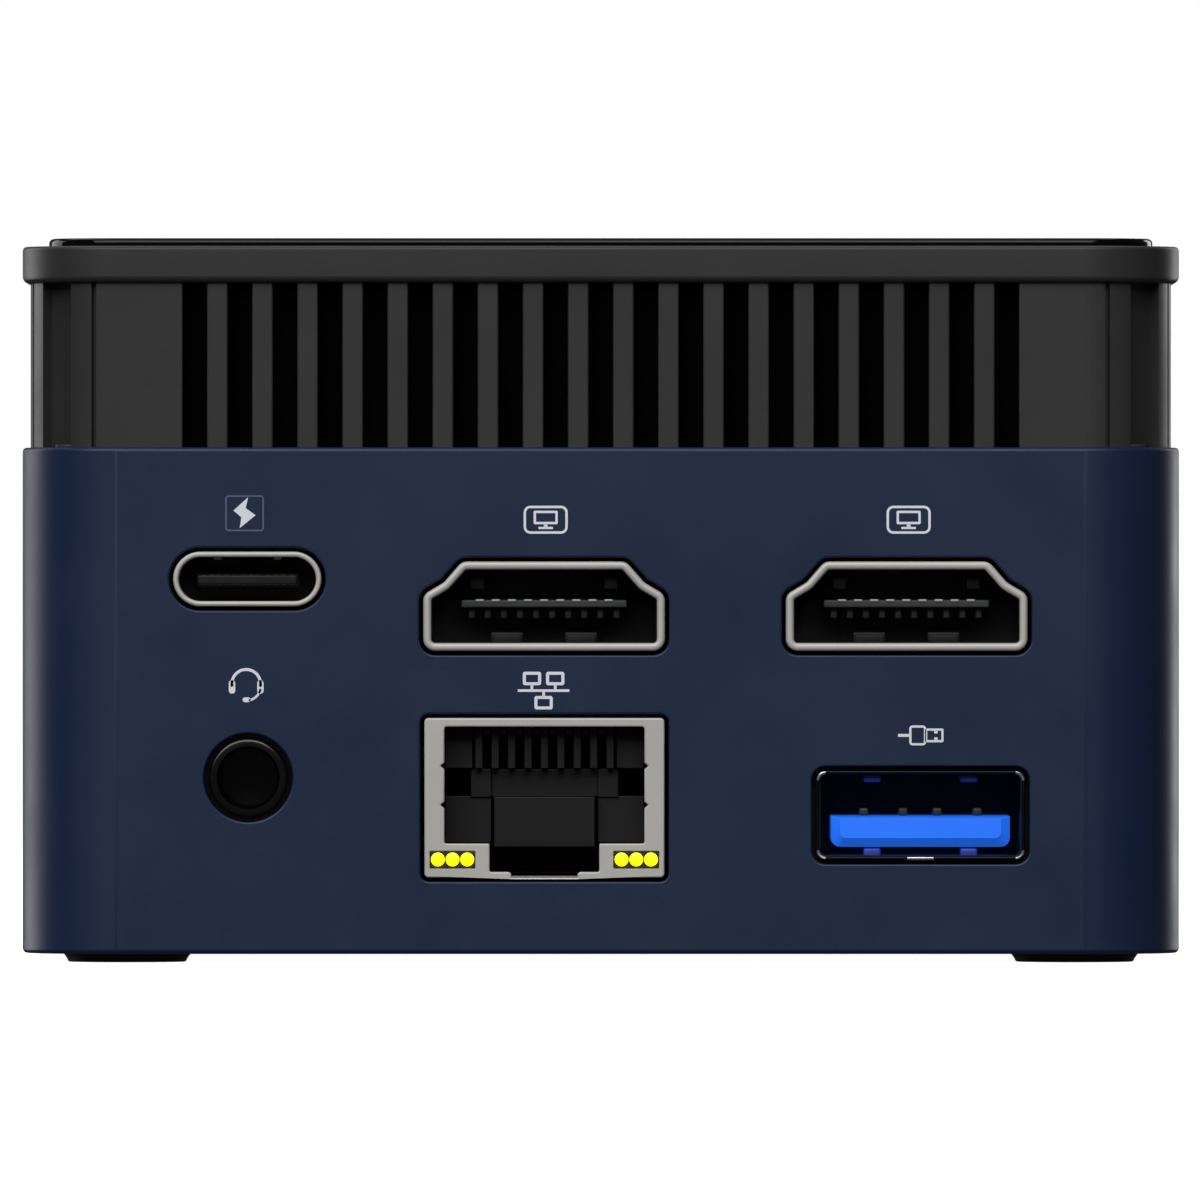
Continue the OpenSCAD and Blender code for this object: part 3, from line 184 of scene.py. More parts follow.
class Skin:
    """Mesh under construction: grids, caps and flat faces with holes."""

    def __init__(self, place: Placing) -> None:
        """Starts an empty mesh whose (u, v, w) coordinates are placed by place."""
        self.place = place
        self.points: list[np.ndarray] = []
        self.faces: list[list[int]] = []
        self.flat: list[tuple[int, int]] = []
        self.count = 0

    def _keep(self, points: np.ndarray) -> int:
        """Stores placed points and returns the index of the first one."""
        first = self.count
        self.points.append(points.reshape(-1, 3))
        self.count += len(self.points[-1])
        return first

    def sweep(self, outline: Outline, profile: Sequence[tuple[float, float]], *, ring: bool = False,
              cap_first: bool = False, cap_last: bool = False, skip: np.ndarray | None = None) -> "Skin":
        """Carries an outline through a profile.

        The surface is P(i, j) = outline.at(inset[j])[i] at depth[j].

        Args:
            outline: the outline.
            profile: (inset, depth) steps.
            ring: True if the last step joins the first one again.
            cap_first: closes the first step with a flat face.
            cap_last: closes the last step with a flat face.
            skip: outline points whose next edge is left open, as [point, step] rows.

        Returns:
            This skin.
        """
        steps = np.asarray(profile, float)
        flat = np.stack([outline.at(inset) for inset in steps[:, 0]])
        depth = np.broadcast_to(steps[:, 1:2], flat.shape[:2])
        first = self._keep(self.place(flat[..., 0], flat[..., 1], depth))
        rows, n = flat.shape[:2]
        j = np.arange(rows if ring else rows - 1)
        jj, ii = np.meshgrid(j, np.arange(n), indexing="ij")
        nj, ni = (jj + 1) % rows, (ii + 1) % n
        quads = np.stack([jj * n + ii, jj * n + ni, nj * n + ni, nj * n + ii], axis=-1) + first
        keep = np.ones(quads.shape[:2], bool)
        if skip is not None:
            keep[skip[:, 1], skip[:, 0]] = False
        self.faces += quads[keep].tolist()
        if cap_first:
            self.faces.append((first + np.arange(n)).tolist())
        if cap_last:
            self.faces.append((first + (rows - 1) * n + np.arange(n)).tolist())
        return self

    def sheet(self, edge: np.ndarray, holes: Sequence[np.ndarray], depth: float) -> "Skin":
        """Flat face at one depth, with holes.

        The triangles are Delaunay's, held to the outlines; those whose middle lies in
        a hole, by the count of edges crossed to its right, are left out.

        Args:
            edge: the convex outer outline, as an (n, 2) array.
            holes: outlines of the holes.
            depth: where the face lies.

        Returns:
            This skin.
        """
        loops = [edge, *holes]
        sizes = [len(loop) for loop in loops]
        ends = np.cumsum(sizes)
        following = np.concatenate([np.roll(np.arange(b - a, b), -1) for a, b in zip(sizes, ends)])
        flat = np.concatenate(loops)
        pairs = np.stack([np.arange(len(flat)), following], axis=1)
        made = delaunay_2d_cdt([Vector(p) for p in flat.tolist()], pairs.tolist(), [], 0, 1e-5)
        spots, faces = np.array([tuple(v) for v in made[0]]), np.array(made[2])
        middle = spots[faces].mean(axis=1)
        keep = np.ones(len(faces), bool)
        for hole in holes:
            a, b = hole, np.roll(hole, -1, axis=0)
            over = (a[None, :, 1] > middle[:, None, 1]) != (b[None, :, 1] > middle[:, None, 1])
            rise = np.where(b[:, 1] == a[:, 1], 1.0, b[:, 1] - a[:, 1])
            cross = a[:, 0] + (middle[:, None, 1] - a[:, 1]) * (b[:, 0] - a[:, 0]) / rise
            keep &= (over & (cross > middle[:, None, 0])).sum(axis=1) % 2 == 0
        first = self._keep(self.place(spots[:, 0], spots[:, 1], np.full(len(spots), depth)))
        self.flat.append((len(self.faces), len(self.faces) + int(keep.sum())))
        self.faces += (faces[keep] + first).tolist()
        return self

    def grid(self, points: np.ndarray, close: bool = False) -> "Skin":
        """Adds an (m, n, 3) grid of placed points; close joins its last column to its first."""
        first = self._keep(points)
        m, n = points.shape[:2]
        jj, ii = np.meshgrid(np.arange(m - 1), np.arange(n if close else n - 1), indexing="ij")
        ni = (ii + 1) % n
        quads = np.stack([jj * n + ii, jj * n + ni, (jj + 1) * n + ni, (jj + 1) * n + ii], axis=-1) + first
        self.faces += quads.reshape(-1, 4).tolist()
        return self

    def solid(self, outline: Outline, low: float, high: float, edge: float = 0.0, foot: float = 0.0) -> "Skin":
        """Closed prism between two depths, with round edges of radius edge at low and foot at high."""
        start = quarter((edge, low), (0, low + edge), True) if edge else [(0, low)]
        end = quarter((0, high - foot), (foot, high), False) if foot else [(0, high)]
        return self.sweep(outline, [*start, *end], cap_first=True, cap_last=True)

    @staticmethod
    def _part_sheets(mesh: bpy.types.Mesh) -> None:
        """Makes every edge between a sheet and its surroundings sharp, so that the sheet shades flat."""
        level = np.zeros(len(mesh.polygons), np.int32)
        mesh.polygons.foreach_get("material_index", level)
        loops = np.zeros(len(mesh.polygons), np.int32)
        mesh.polygons.foreach_get("loop_total", loops)
        edges = np.zeros(len(mesh.loops), np.int32)
        mesh.loops.foreach_get("edge_index", edges)
        marked = np.bincount(edges, np.repeat(level, loops), len(mesh.edges))
        total = np.bincount(edges, minlength=len(mesh.edges))
        sharp = np.zeros(len(mesh.edges), bool)
        mesh.edges.foreach_get("use_edge_sharp", sharp)
        mesh.edges.foreach_set("use_edge_sharp", sharp | ((marked > 0) & (marked < total)))
        mesh.polygons.foreach_set("material_index", np.zeros(len(mesh.polygons), np.int32))

    def build(self, name: str, smooth: float = 35.0, merge: float = 0.0004) -> bpy.types.Object:
        """Makes the object.

        Args:
            name: its name.
            smooth: edges that turn by more than this angle stay sharp, in degrees.
            merge: points closer than this become one, in millimetres.

        Returns:
            The object, with its faces turned outwards and its flat faces kept flat.
        """
        mesh = bpy.data.meshes.new(name)
        mesh.from_pydata((np.concatenate(self.points) * MM).tolist(), [], self.faces)
        level = np.zeros(len(self.faces), np.int32)
        for start, end in self.flat:
            level[start:end] = 1
        mesh.polygons.foreach_set("material_index", level)
        shape = bmesh.new()
        shape.from_mesh(mesh)
        bmesh.ops.remove_doubles(shape, verts=shape.verts, dist=merge * MM)
        bmesh.ops.recalc_face_normals(shape, faces=shape.faces)
        shape.to_mesh(mesh)
        shape.free()
        mesh.polygons.foreach_set("use_smooth", np.ones(len(mesh.polygons), bool))
        mesh.set_sharp_from_angle(angle=math.radians(smooth))
        self._part_sheets(mesh)
        made = bpy.data.objects.new(name, mesh)
        bpy.context.scene.collection.objects.link(made)
        flat = made.modifiers.new("flat_faces", "WEIGHTED_NORMAL")
        flat.keep_sharp = True
        return made


# ---------------------------------------------------------------- finishes


def linear(colour: str) -> tuple[float, float, float, float]:
    """Linear RGBA of an sRGB hex colour such as "1F2C45"."""
    part = np.array([int(colour[i : i + 2], 16) for i in (0, 2, 4)]) / 255
    low, high = part / 12.92, ((part + 0.055) / 1.055) ** 2.4
    return (*np.where(part <= 0.04045, low, high).tolist(), 1.0)


def add(tree: bpy.types.NodeTree, kind: str, inputs: dict | None = None, **settings: object) -> bpy.types.Node:
    """Adds one node.

    Args:
        tree: the node tree.
        kind: Blender's name for the node.
        inputs: input name or number to a value, or to the socket that feeds it.
        settings: the node's own properties.

    Returns:
        The node.
    """
    node = tree.nodes.new(kind)
    for name, value in settings.items():
        setattr(node, name, value)
    for name, value in (inputs or {}).items():
        if isinstance(value, bpy.types.NodeSocket):
            tree.links.new(value, node.inputs[name])
        else:
            node.inputs[name].default_value = value
    return node


class Texture(Enum):
    """How a surface was made, which sets the pattern of its relief."""

    SPARKED = "spark-eroded mould grain"
    POLISHED = "polished mould"
    ROLLED = "rolled sheet with fine lines along one way"
    TURNED = "turned or drawn metal"
    PRINTED = "screen-printed ink"


@dataclass(frozen=True)
class Finish:
    """One real material and how its surface was made.

    Attributes:
        name: the material's plain name.
        colour: its sRGB hex colour.
        roughness: of the shader.
        texture: the pattern of the relief.
        grain_mm: the size of one grain or the spacing of the lines.
        relief_mm: the height of the relief.
        mottle: how far the colour varies, from 0 to 1.
        wear: how far the roughness varies.
        metallic: 1 for bare metal.
        specular: specular level of a plastic.
        coat: strength of a clear coat.
        coat_roughness: roughness of that coat.
        glow: emission strength.
        ior: index of refraction.
        transmission: share of light let through.
    """

    name: str
    colour: str
    roughness: float
    texture: Texture = Texture.SPARKED
    grain_mm: float = 0.18
    relief_mm: float = 0.002
    mottle: float = 0.05
    wear: float = 0.06
    metallic: float = 0.0
    specular: float = 0.5
    coat: float = 0.0
    coat_roughness: float = 0.05
    glow: float = 0.0
    ior: float = 1.5
    transmission: float = 0.0

    def _pattern(self, tree: bpy.types.NodeTree, place: bpy.types.NodeSocket) -> bpy.types.NodeSocket:
        """Height of the relief from 0 to 1, for this way of making the surface."""
        size = 1 / (self.grain_mm * MM)
        if self.texture is Texture.ROLLED:
            stretched = add(tree, "ShaderNodeMapping", {"Vector": place, "Scale": (0.06, 1.0, 1.0)})
            return add(tree, "ShaderNodeTexNoise", {"Vector": stretched.outputs[0], "Scale": size,
                                                    "Detail": 3.0, "Roughness": 0.6}).outputs[0]
        if self.texture is Texture.TURNED:
            stretched = add(tree, "ShaderNodeMapping", {"Vector": place, "Scale": (0.2, 0.2, 1.0)})
            return add(tree, "ShaderNodeTexNoise", {"Vector": stretched.outputs[0], "Scale": size,
                                                    "Detail": 2.0}).outputs[0]
        if self.texture is Texture.SPARKED:
            cells = add(tree, "ShaderNodeTexVoronoi", {"Vector": place, "Scale": size},
                        feature="SMOOTH_F1")
            return cells.outputs["Distance"]
        return add(tree, "ShaderNodeTexNoise", {"Vector": place, "Scale": size, "Detail": 2.0}).outputs[0]

    def material(self) -> bpy.types.Material:
        """The material, made once: a Principled shader with mottled colour, worn gloss and relief."""
        known = bpy.data.materials.get(self.name)
        if known is not None:
            return known
        made = bpy.data.materials.new(self.name)
        made.use_nodes = True
        tree = made.node_tree
        shader = tree.nodes["Principled BSDF"]
        place = add(tree, "ShaderNodeTexCoord").outputs["Object"]
        broad = add(tree, "ShaderNodeTexNoise", {"Vector": place, "Scale": 1 / (9 * MM), "Detail": 4.0,
                                                 "Roughness": 0.62})
        base = linear(self.colour)
        dark = (*(c * (1 - self.mottle) for c in base[:3]), 1.0)
        light = (*(min(1.0, c * (1 + self.mottle)) for c in base[:3]), 1.0)
        ramp = add(tree, "ShaderNodeValToRGB", {"Fac": broad.outputs[0]})
        ramp.color_ramp.elements[0].position = 0.3
        ramp.color_ramp.elements[0].color = dark
        ramp.color_ramp.elements[1].position = 0.7
        ramp.color_ramp.elements[1].color = light
        tree.links.new(ramp.outputs[0], shader.inputs["Base Color"])
        gloss = add(tree, "ShaderNodeMapRange", {"Value": broad.outputs[0], "From Min": 0.3, "From Max": 0.7,
                                                 "To Min": max(0.0, self.roughness - self.wear),
                                                 "To Max": min(1.0, self.roughness + self.wear)})
        tree.links.new(gloss.outputs[0], shader.inputs["Roughness"])
        relief = add(tree, "ShaderNodeBump", {"Strength": 1.0, "Distance": self.relief_mm * MM,
                                              "Height": self._pattern(tree, place)})
        tree.links.new(relief.outputs[0], shader.inputs["Normal"])
        shader.inputs["Metallic"].default_value = self.metallic
        if not self.metallic:
            shader.inputs["IOR"].default_value = self.ior
            shader.inputs["Specular IOR Level"].default_value = self.specular
        shader.inputs["Coat Weight"].default_value = self.coat
        shader.inputs["Coat Roughness"].default_value = self.coat_roughness
        shader.inputs["Transmission Weight"].default_value = self.transmission
        if self.glow:
            shader.inputs["Emission Color"].default_value = base
            shader.inputs["Emission Strength"].default_value = self.glow
        return made

    def dress(self, *pieces: bpy.types.Object) -> None:
        """Gives the pieces this one material."""
        for piece in pieces:
            piece.data.materials.clear()
            piece.data.materials.append(self.material())


# Navy ABS from a spark-eroded mould: an even satin that hides finger marks.
CASE_ABS = Finish("moulded_navy_abs", "162646", 0.42, grain_mm=0.16, relief_mm=0.0025, mottle=0.04, specular=0.35)
# Charcoal ABS, same mould grain, a little rougher, so the bars look dull beside the panel.
RING_ABS = Finish("moulded_charcoal_abs", "303030", 0.45, grain_mm=0.16, relief_mm=0.0025, specular=0.35)
# Black acrylic from a polished mould: a deep, wet-looking top.
PANEL_ACRYLIC = Finish("polished_black_acrylic", "060607", 0.1, Texture.POLISHED, 1.5, 0.0006, wear=0.02,
                       coat=0.1, specular=0.15, coat_roughness=0.02)
# Black ABS of the bottom plate, coarser grain than the case.
COVER_ABS = Finish("moulded_black_abs", "141517", 0.55, grain_mm=0.3, relief_mm=0.006)
# Silicone rubber: almost no gloss, with a bloom of dust.
FOOT_RUBBER = Finish("black_silicone_rubber", "181818", 0.7, grain_mm=0.1, relief_mm=0.004, mottle=0.15, specular=0.3)
# Nickel plate over stamped steel: bright, slightly warm, with the sheet's rolling lines.
NICKEL = Finish("nickel_plated_sheet", "C9C4BD", 0.28, Texture.ROLLED, 0.12, 0.0008, mottle=0.05, wear=0.08,
                metallic=1.0)
# Tin plate over steel of the screen sockets: duller and warmer than the nickel.
TIN = Finish("tin_plated_sheet", "C6C3BE", 0.5, Texture.ROLLED, 0.15, 0.001, mottle=0.04, wear=0.06,
             metallic=0.25)
# The same plated steel for the USB shells' tubes, drawn nearly black: painted shade over their inside and over the
# straight runs of their front edges.
NICKEL_DARK = Finish("dark_plated_sheet", "1D2024", 0.35, Texture.ROLLED, 0.15, 0.001, metallic=1.0)
# Spring steel of the USB shells' tabs, coloured blue as a painted reflection of the blue plastic beside it.
USB_SPRING = Finish("spring_steel_blue_reflection", "2B3FA8", 0.45, Texture.ROLLED, 0.1, 0.0005, mottle=0.08)
# Glass-filled nylon of the connector bodies: black with a dry sheen.
SOCKET_NYLON = Finish("black_glass_filled_nylon", "0B0B0B", 0.5, grain_mm=0.12, relief_mm=0.002, specular=0.3)
# Blue moulded nylon of a fast USB tongue; a weak glow, painted light, keeps it vivid inside its dark shell.
USB_BLUE = Finish("blue_moulded_nylon", "2474FF", 0.35, grain_mm=0.12, relief_mm=0.001, mottle=0.03, glow=0.35)
# Gold flashed over phosphor bronze.
GOLD = Finish("gold_flashed_bronze", "D2B57A", 0.25, Texture.ROLLED, 0.05, 0.0003, metallic=1.0)
# Palladium-nickel contacts: greyer than gold.
CONTACT_GREY = Finish("palladium_nickel_contact", "B4B2AA", 0.35, Texture.ROLLED, 0.05, 0.0003, mottle=0.08,
                      specular=0.8)
# Copper alloy contacts, drawn dark so that they look to lie in the shade of their socket.
CONTACT_DARK = Finish("shaded_copper_alloy", "2C2A26", 0.4, Texture.ROLLED, 0.05, 0.0003, mottle=0.1)
# Liquid crystal polymer of a thin tongue: greyer than the body round it.
TONGUE_LCP = Finish("grey_crystal_polymer", "33373A", 0.45, grain_mm=0.1, relief_mm=0.001)
# Black PBT of the round jack, shinier than nylon.
JACK_PBT = Finish("black_pbt", "070707", 0.22, Texture.POLISHED, 0.6, 0.0008)
# Pale ink, screen-printed: flat and slightly chalky.
INK = Finish("screen_printed_ink", "EEF2FA", 0.6, Texture.PRINTED, 0.08, 0.001, mottle=0.03)
# The same ink printed thin, so the case shows through.
INK_FAINT = Finish("thin_printed_ink", "56617A", 0.6, Texture.PRINTED, 0.08, 0.001, mottle=0.03)
# Tinted lens in front of the network lamps.
LAMP_WINDOW = Finish("olive_lamp_window", "3A3A10", 0.25, Texture.POLISHED, 0.4, 0.0005, coat=0.4)
# The lit lamps.
LAMP_GLOW = Finish("lit_yellow_lamp", "FFFF00", 0.4, Texture.POLISHED, 0.4, 0.0002, mottle=0.0, glow=1.0)
# Clear polycarbonate light pipe.
PIPE_PC = Finish("clear_polycarbonate", "DDEBF5", 0.1, Texture.POLISHED, 0.6, 0.0003, transmission=0.6, ior=1.58)
# Solder mask over glass-epoxy laminate.
BOARD_MASK = Finish("green_solder_mask", "0C2C1C", 0.35, Texture.POLISHED, 0.5, 0.001, mottle=0.12)
# Epoxy moulding compound of the chips.
CHIP_EPOXY = Finish("black_epoxy_package", "131416", 0.55, grain_mm=0.08, relief_mm=0.001)
# Extruded aluminium, drawn nearly black: painted shade, so that the heatsink reads dark through the slots.
SINK_ALUMINIUM = Finish("aluminium_darkened_for_shade", "1C1D1F", 0.4, Texture.ROLLED, 0.2, 0.001, metallic=1.0)
# Glass-filled polyester of the fan.
FAN_POLYESTER = Finish("black_fan_polyester", "040404", 0.6, grain_mm=0.14, relief_mm=0.002, specular=0.1)
# Enamelled copper winding wire.
WINDING = Finish("enamelled_copper", "9A4B22", 0.3, Texture.TURNED, 0.15, 0.01, metallic=1.0)
# Turned brass.
BRASS = Finish("turned_brass", "B8944A", 0.3, Texture.TURNED, 0.1, 0.0005, metallic=1.0)
# Zinc-plated steel screws.
STEEL = Finish("zinc_plated_steel", "A6A7A8", 0.35, Texture.TURNED, 0.12, 0.0006, metallic=1.0)
# PVC insulation of the leads.
LEAD_PVC = Finish("black_pvc_insulation", "121212", 0.5, Texture.POLISHED, 0.5, 0.001)
# Grey silicone thermal pad.
PAD_SILICONE = Finish("grey_thermal_silicone", "7F8894", 0.8, grain_mm=0.1, relief_mm=0.003)
# Dark grey button cap, brushed in look by its fine mould lines.
BUTTON_ABS = Finish("moulded_graphite_abs", "26282B", 0.38, grain_mm=0.12, relief_mm=0.0015)
# White acetal of the switch's plunger.
ACETAL = Finish("white_acetal", "D5D5D2", 0.45, Texture.POLISHED, 0.3, 0.0005)

# Matt black sheet let into the bars across the slots, a supposed piece: painted shade, so fine and matt that the
# slots look plain black and nothing behind them shows.
SLOT_SHADE_SHEET = Finish("matt_black_slot_shade", "020202", 0.95, grain_mm=0.12, relief_mm=0.004, specular=0.03)
# Pale matt card under the object; its glow takes it to plain white.
FLOOR_CARD = Finish("pale_matt_card", "F2F2F1", 0.85, Texture.PRINTED, 0.6, 0.004, mottle=0.004, specular=0.1,
                    glow=1.1)

SLOT_FINISH = {
    "screw_steel": STEEL, "board_mask": BOARD_MASK, "chip_black": CHIP_EPOXY, "choke_ferrite": CHIP_EPOXY,
    "pad_silicone": PAD_SILICONE, "sink_aluminium": SINK_ALUMINIUM, "fan_plastic": FAN_POLYESTER,
    "winding_copper": WINDING, "spacer_brass": BRASS, "lead_jacket": LEAD_PVC, "plunger_plastic": ACETAL,
    "battery_steel": STEEL, "antenna_film": LEAD_PVC, "socket_plastic": SOCKET_NYLON, "contact_gold": GOLD,
    "socket_metal": NICKEL, "cover_plate": COVER_ABS, "usb_blue": USB_BLUE, "lamp_lens": LAMP_WINDOW,
    "lamp_pipe": PIPE_PC, "button_plastic": BUTTON_ABS, "case_shell": CASE_ABS, "ring_plastic": RING_ABS,
    "gloss_panel": PANEL_ACRYLIC, "foot_rubber": FOOT_RUBBER,
}


# ---------------------------------------------------------------- places


class Wall(Enum):
    """The two walls that carry sockets. The value is the side of the case along Y."""

    SOCKETS = -1
    BUTTON = 1


def corners(node: str) -> tuple[np.ndarray, np.ndarray]:
    """Lowest and highest corner of a CAD node, in millimetres."""
    low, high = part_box(node)
    return np.array(low) / MM, np.array(high) / MM


MOUNTS = {row["name"]: np.array(row["pos_m"]) / MM for row in frame["record"]["mounts"]}
CASE_LOW, CASE_HIGH = corners("lower_case")
LID_LOW, LID_HIGH = corners("top_cap")
HALF = float(CASE_HIGH[0])
CASE_Z, CASE_TOP = float(CASE_LOW[2]), float(CASE_HIGH[2])
VENT_TOP, LID_TOP = float(LID_HIGH[2]) - 2.3, float(LID_HIGH[2])
CORNER_R = 6.0
WALL_T = 1.6
SEAT_GAP = 0.15
RIM_T = 1.35
PORT_GAP = 0.25


@dataclass(frozen=True)
class Spot:
    """A place on one of the two walls: sideways as seen from outside, and up."""

    wall: Wall
    side: float
    up: float

    def placing(self) -> Placing:
        """(u, v, w) is right, up and inwards from here, seen from outside the wall."""
        s = self.wall.value

        def place(u: np.ndarray, v: np.ndarray, w: np.ndarray) -> np.ndarray:
            """Turns wall coordinates into the frame's."""
            return np.stack([-s * (self.side + u), s * (HALF - w), self.up + v + 0 * u], axis=-1)

        return place

    def skin(self) -> Skin:
        """An empty mesh in this place's coordinates."""
        return Skin(self.placing())


def mount_spot(name: str) -> Spot:
    """The place of a socket's mount."""
    x, y, z = MOUNTS[name]
    wall = Wall.SOCKETS if y < 0 else Wall.BUTTON
    return Spot(wall, float(x) * (1 if wall is Wall.SOCKETS else -1), float(z))


def finish_piece(piece: bpy.types.Object, finish: Finish, slot: str, *nodes: str, body: str = BASE) -> None:
    """Dresses a new piece, makes it ride on its body and stand for its CAD nodes.

    Args:
        piece: the new piece.
        finish: its material.
        slot: the record's material slot; not used.
        nodes: the CAD nodes that it replaces.
        body: the CAD body that it moves with.
    """
    finish.dress(piece)
    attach(piece, body)
    if nodes:
        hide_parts(*nodes)
    LOG.info("%s: %d faces, %s", piece.name, len(piece.data.polygons), finish.name)


# ---------------------------------------------------------------- socket outlines


@dataclass(frozen=True)
class SocketShapes:
    """Outlines of the sockets, centred on their mounts, as seen from outside."""

    usb_c_w: float = 9.2
    usb_c_h: float = 3.4
    jack_collar_r: float = 2.45
    jack_bore_r: float = 1.8
    jack_hole_r: float = 2.75
    lan_w: float = 14.9
    lan_h: float = 9.9
    usb_w: float = 13.0
    usb_h: float = 5.55
    usb_corner: float = 0.6

    def usb_c(self) -> Outline:
        """A slot with round ends."""
        return rectangle(self.usb_c_w, self.usb_c_h, self.usb_c_h / 2 - 0.001, 20)

    def hdmi(self) -> Outline:
        """Wide side down; each upper corner is cut away in a short and a long slope."""
        right = [(7.5, -2.78), (7.5, 0.72), (6.235, 1.47), (5.09, 2.78)]
        left = [(-x, y) for x, y in reversed(right)]
        return rounded(right + left, [0.75, 0.7, 0.8, 0.75, 0.75, 0.8, 0.7, 0.75], 7)

    def jack_hole(self) -> Outline:
        """The round hole in the case."""
        return circle(self.jack_hole_r, 64)

    def lan(self) -> Outline:
        """The shield's face."""
        return rectangle(self.lan_w, self.lan_h, 0.25, 4)

    def usb(self) -> Outline:
        """The shell of a flat USB socket."""
        return rectangle(self.usb_w, self.usb_h, self.usb_corner, 8)


SHAPES = SocketShapes()


# ---------------------------------------------------------------- case


@dataclass
class LowerCase:
    """Navy lower case, its bottom plate and its feet.

    Attributes:
        lip: radius of the edge round each hole.
        top_edge: radius of the upper edge.
        bottom_edge: radius of the lower edge.
        steps: points on each upright corner.
    """

    lip: float = 0.12
    top_edge: float = 0.25
    bottom_edge: float = 0.3
    steps: int = 40
    holes: dict = field(default_factory=dict)

    def __post_init__(self) -> None:
        """Collects the holes of both walls, each in its wall's own coordinates."""
        self.holes = {Wall.SOCKETS: [], Wall.BUTTON: []}
        grown = {
            "usb_c_socket": SHAPES.usb_c(), "screen_socket_left": SHAPES.hdmi(),
            "screen_socket_right": SHAPES.hdmi(), "network_socket": SHAPES.lan(),
            "usb_rear_socket": SHAPES.usb(), "usb_front_socket_a": SHAPES.usb(),
            "usb_front_socket_b": SHAPES.usb(),
        }
        for name, outline in grown.items():
            spot = mount_spot(name)
            self.holes[spot.wall].append(outline.grown(PORT_GAP).moved(spot.side, spot.up))
        jack = mount_spot("headset_bore")
        self.holes[jack.wall].append(SHAPES.jack_hole().moved(jack.side, jack.up))
        low, high = corners("power_button")
        self.button_up = float(low[2] + high[2]) / 2
        self.button_r = 3.5
        lamp_low, lamp_high = corners("power_lamp")
        self.lamp_side = -float(lamp_low[0] + lamp_high[0]) / 2
        self.holes[Wall.BUTTON].append(circle(self.button_r + 0.2, 64).moved(0, self.button_up))
        self.holes[Wall.BUTTON].append(circle(0.8, 32).moved(self.lamp_side, self.button_up))

    def shell(self) -> bpy.types.Object:
        """The case: a closed profile carried round the corners, with two holed flat walls let in."""
        outline = rectangle(2 * HALF, 2 * HALF, CORNER_R, self.steps)
        outer_low = quarter((self.bottom_edge, CASE_Z), (0, CASE_Z + self.bottom_edge), True)
        outer_high = quarter((0, CASE_TOP - self.top_edge), (self.top_edge, CASE_TOP), False)
        inner = [(WALL_T - 0.15, CASE_TOP), (WALL_T, CASE_TOP - 0.15), (WALL_T, CASE_Z)]
        profile = [*outer_low, *outer_high, *inner]
        outer_step = len(outer_low) - 1
        inner_step = len(profile) - 2
        edges = {Wall.SOCKETS: self.steps - 1, Wall.BUTTON: 3 * self.steps - 1}
        skip = np.array([[edge, step] for edge in edges.values() for step in (outer_step, inner_step)])
        skin = Skin(upright())
        skin.sweep(outline, profile, ring=True, skip=skip)
        flat = HALF - CORNER_R
        for wall, holes in self.holes.items():
            skin.place = Spot(wall, 0.0, 0.0).placing()
            for depth, grow, low, high in (
                (0.0, self.lip, profile[outer_step][1], profile[outer_step + 1][1]),
                (WALL_T, 0.0, profile[inner_step + 1][1], profile[inner_step][1]),
            ):
                edge = np.array([(-flat, low), (flat, low), (flat, high), (-flat, high)])
                skin.sheet(edge, [hole.at(-grow) for hole in holes], depth)
            for hole in holes:
                skin.sweep(hole, [*quarter((-self.lip, 0), (0, self.lip), True), (0, WALL_T)])
        self.posts(skin)
        return skin.build("case_shell")

    def posts(self, skin: Skin) -> None:
        """Adds the four corner posts with their webs, and the ribs that carry the lower board."""
        post, post_r, floor, roof = HALF - 6.5, 2.6, float(corners("bottom_cover")[1][2]), CASE_TOP - 1.8
        board = float(corners("io_board")[0][2]) + 2.0
        rib = float(corners("board_spacers")[1][0]) - 1.8
        for sx, sy in ((-1, -1), (1, -1), (1, 1), (-1, 1)):
            skin.place = upright(sx * post, sy * post)
            skin.solid(circle(post_r, 32), floor, roof, edge=0.1, foot=0.1)
            reach = np.array([(1.8, -1.2), (5.2, -1.2), (5.2, 1.2), (1.8, 1.2)])
            turn = math.atan2(sy, sx)
            matrix = np.array([[math.cos(turn), math.sin(turn)], [-math.sin(turn), math.cos(turn)]])
            skin.solid(rounded(reach @ matrix, 0.05, 2), floor, roof)
            skin.place = upright(sx * (rib + 0.35), sy * 20.0)
            skin.solid(rectangle(5.3, 4.8, 0.2, 3), floor, board)

    def bottom_plate(self) -> bpy.types.Object:
        """The plate that closes the bottom, its lower edge rounded."""
        low, high = corners("bottom_cover")
        wide = float(high[0] - low[0])
        radius = CORNER_R - (HALF - wide / 2)
        z0, z1 = float(low[2]), float(high[2])
        profile = [*quarter((0.3, z0), (0, z0 + 0.3), True), (0, z1)]
        return Skin(upright()).sweep(rectangle(wide, wide, radius, 12), profile, cap_first=True,
                                     cap_last=True).build("bottom_plate")

    def foot(self, node: str) -> bpy.types.Object:
        """A round foot: it widens upwards and its lower edge is rounded."""
        low, high = corners(node)
        x, y = float(low[0] + high[0]) / 2, float(low[1] + high[1]) / 2
        top, r = float(high[2]), float(high[0] - low[0]) / 2
        profile = [*quarter((0.45, 0.0), (0.27, 0.18), True), (0.05, top - 0.06), (0, top)]
        return Skin(upright(x, y)).sweep(circle(r, 64), profile, cap_first=True, cap_last=True).build(node + "_pad")

    def build(self) -> None:
        """Builds and dresses the case, its bottom plate and its feet."""
        finish_piece(self.shell(), CASE_ABS, "case_shell", "lower_case")
        finish_piece(self.bottom_plate(), COVER_ABS, "cover_plate", "bottom_cover")
        for node in ("foot_rear_left", "foot_rear_right", "foot_front_left", "foot_front_right"):
            finish_piece(self.foot(node), FOOT_RUBBER, "foot_rubber", node)


# ---------------------------------------------------------------- vent ring


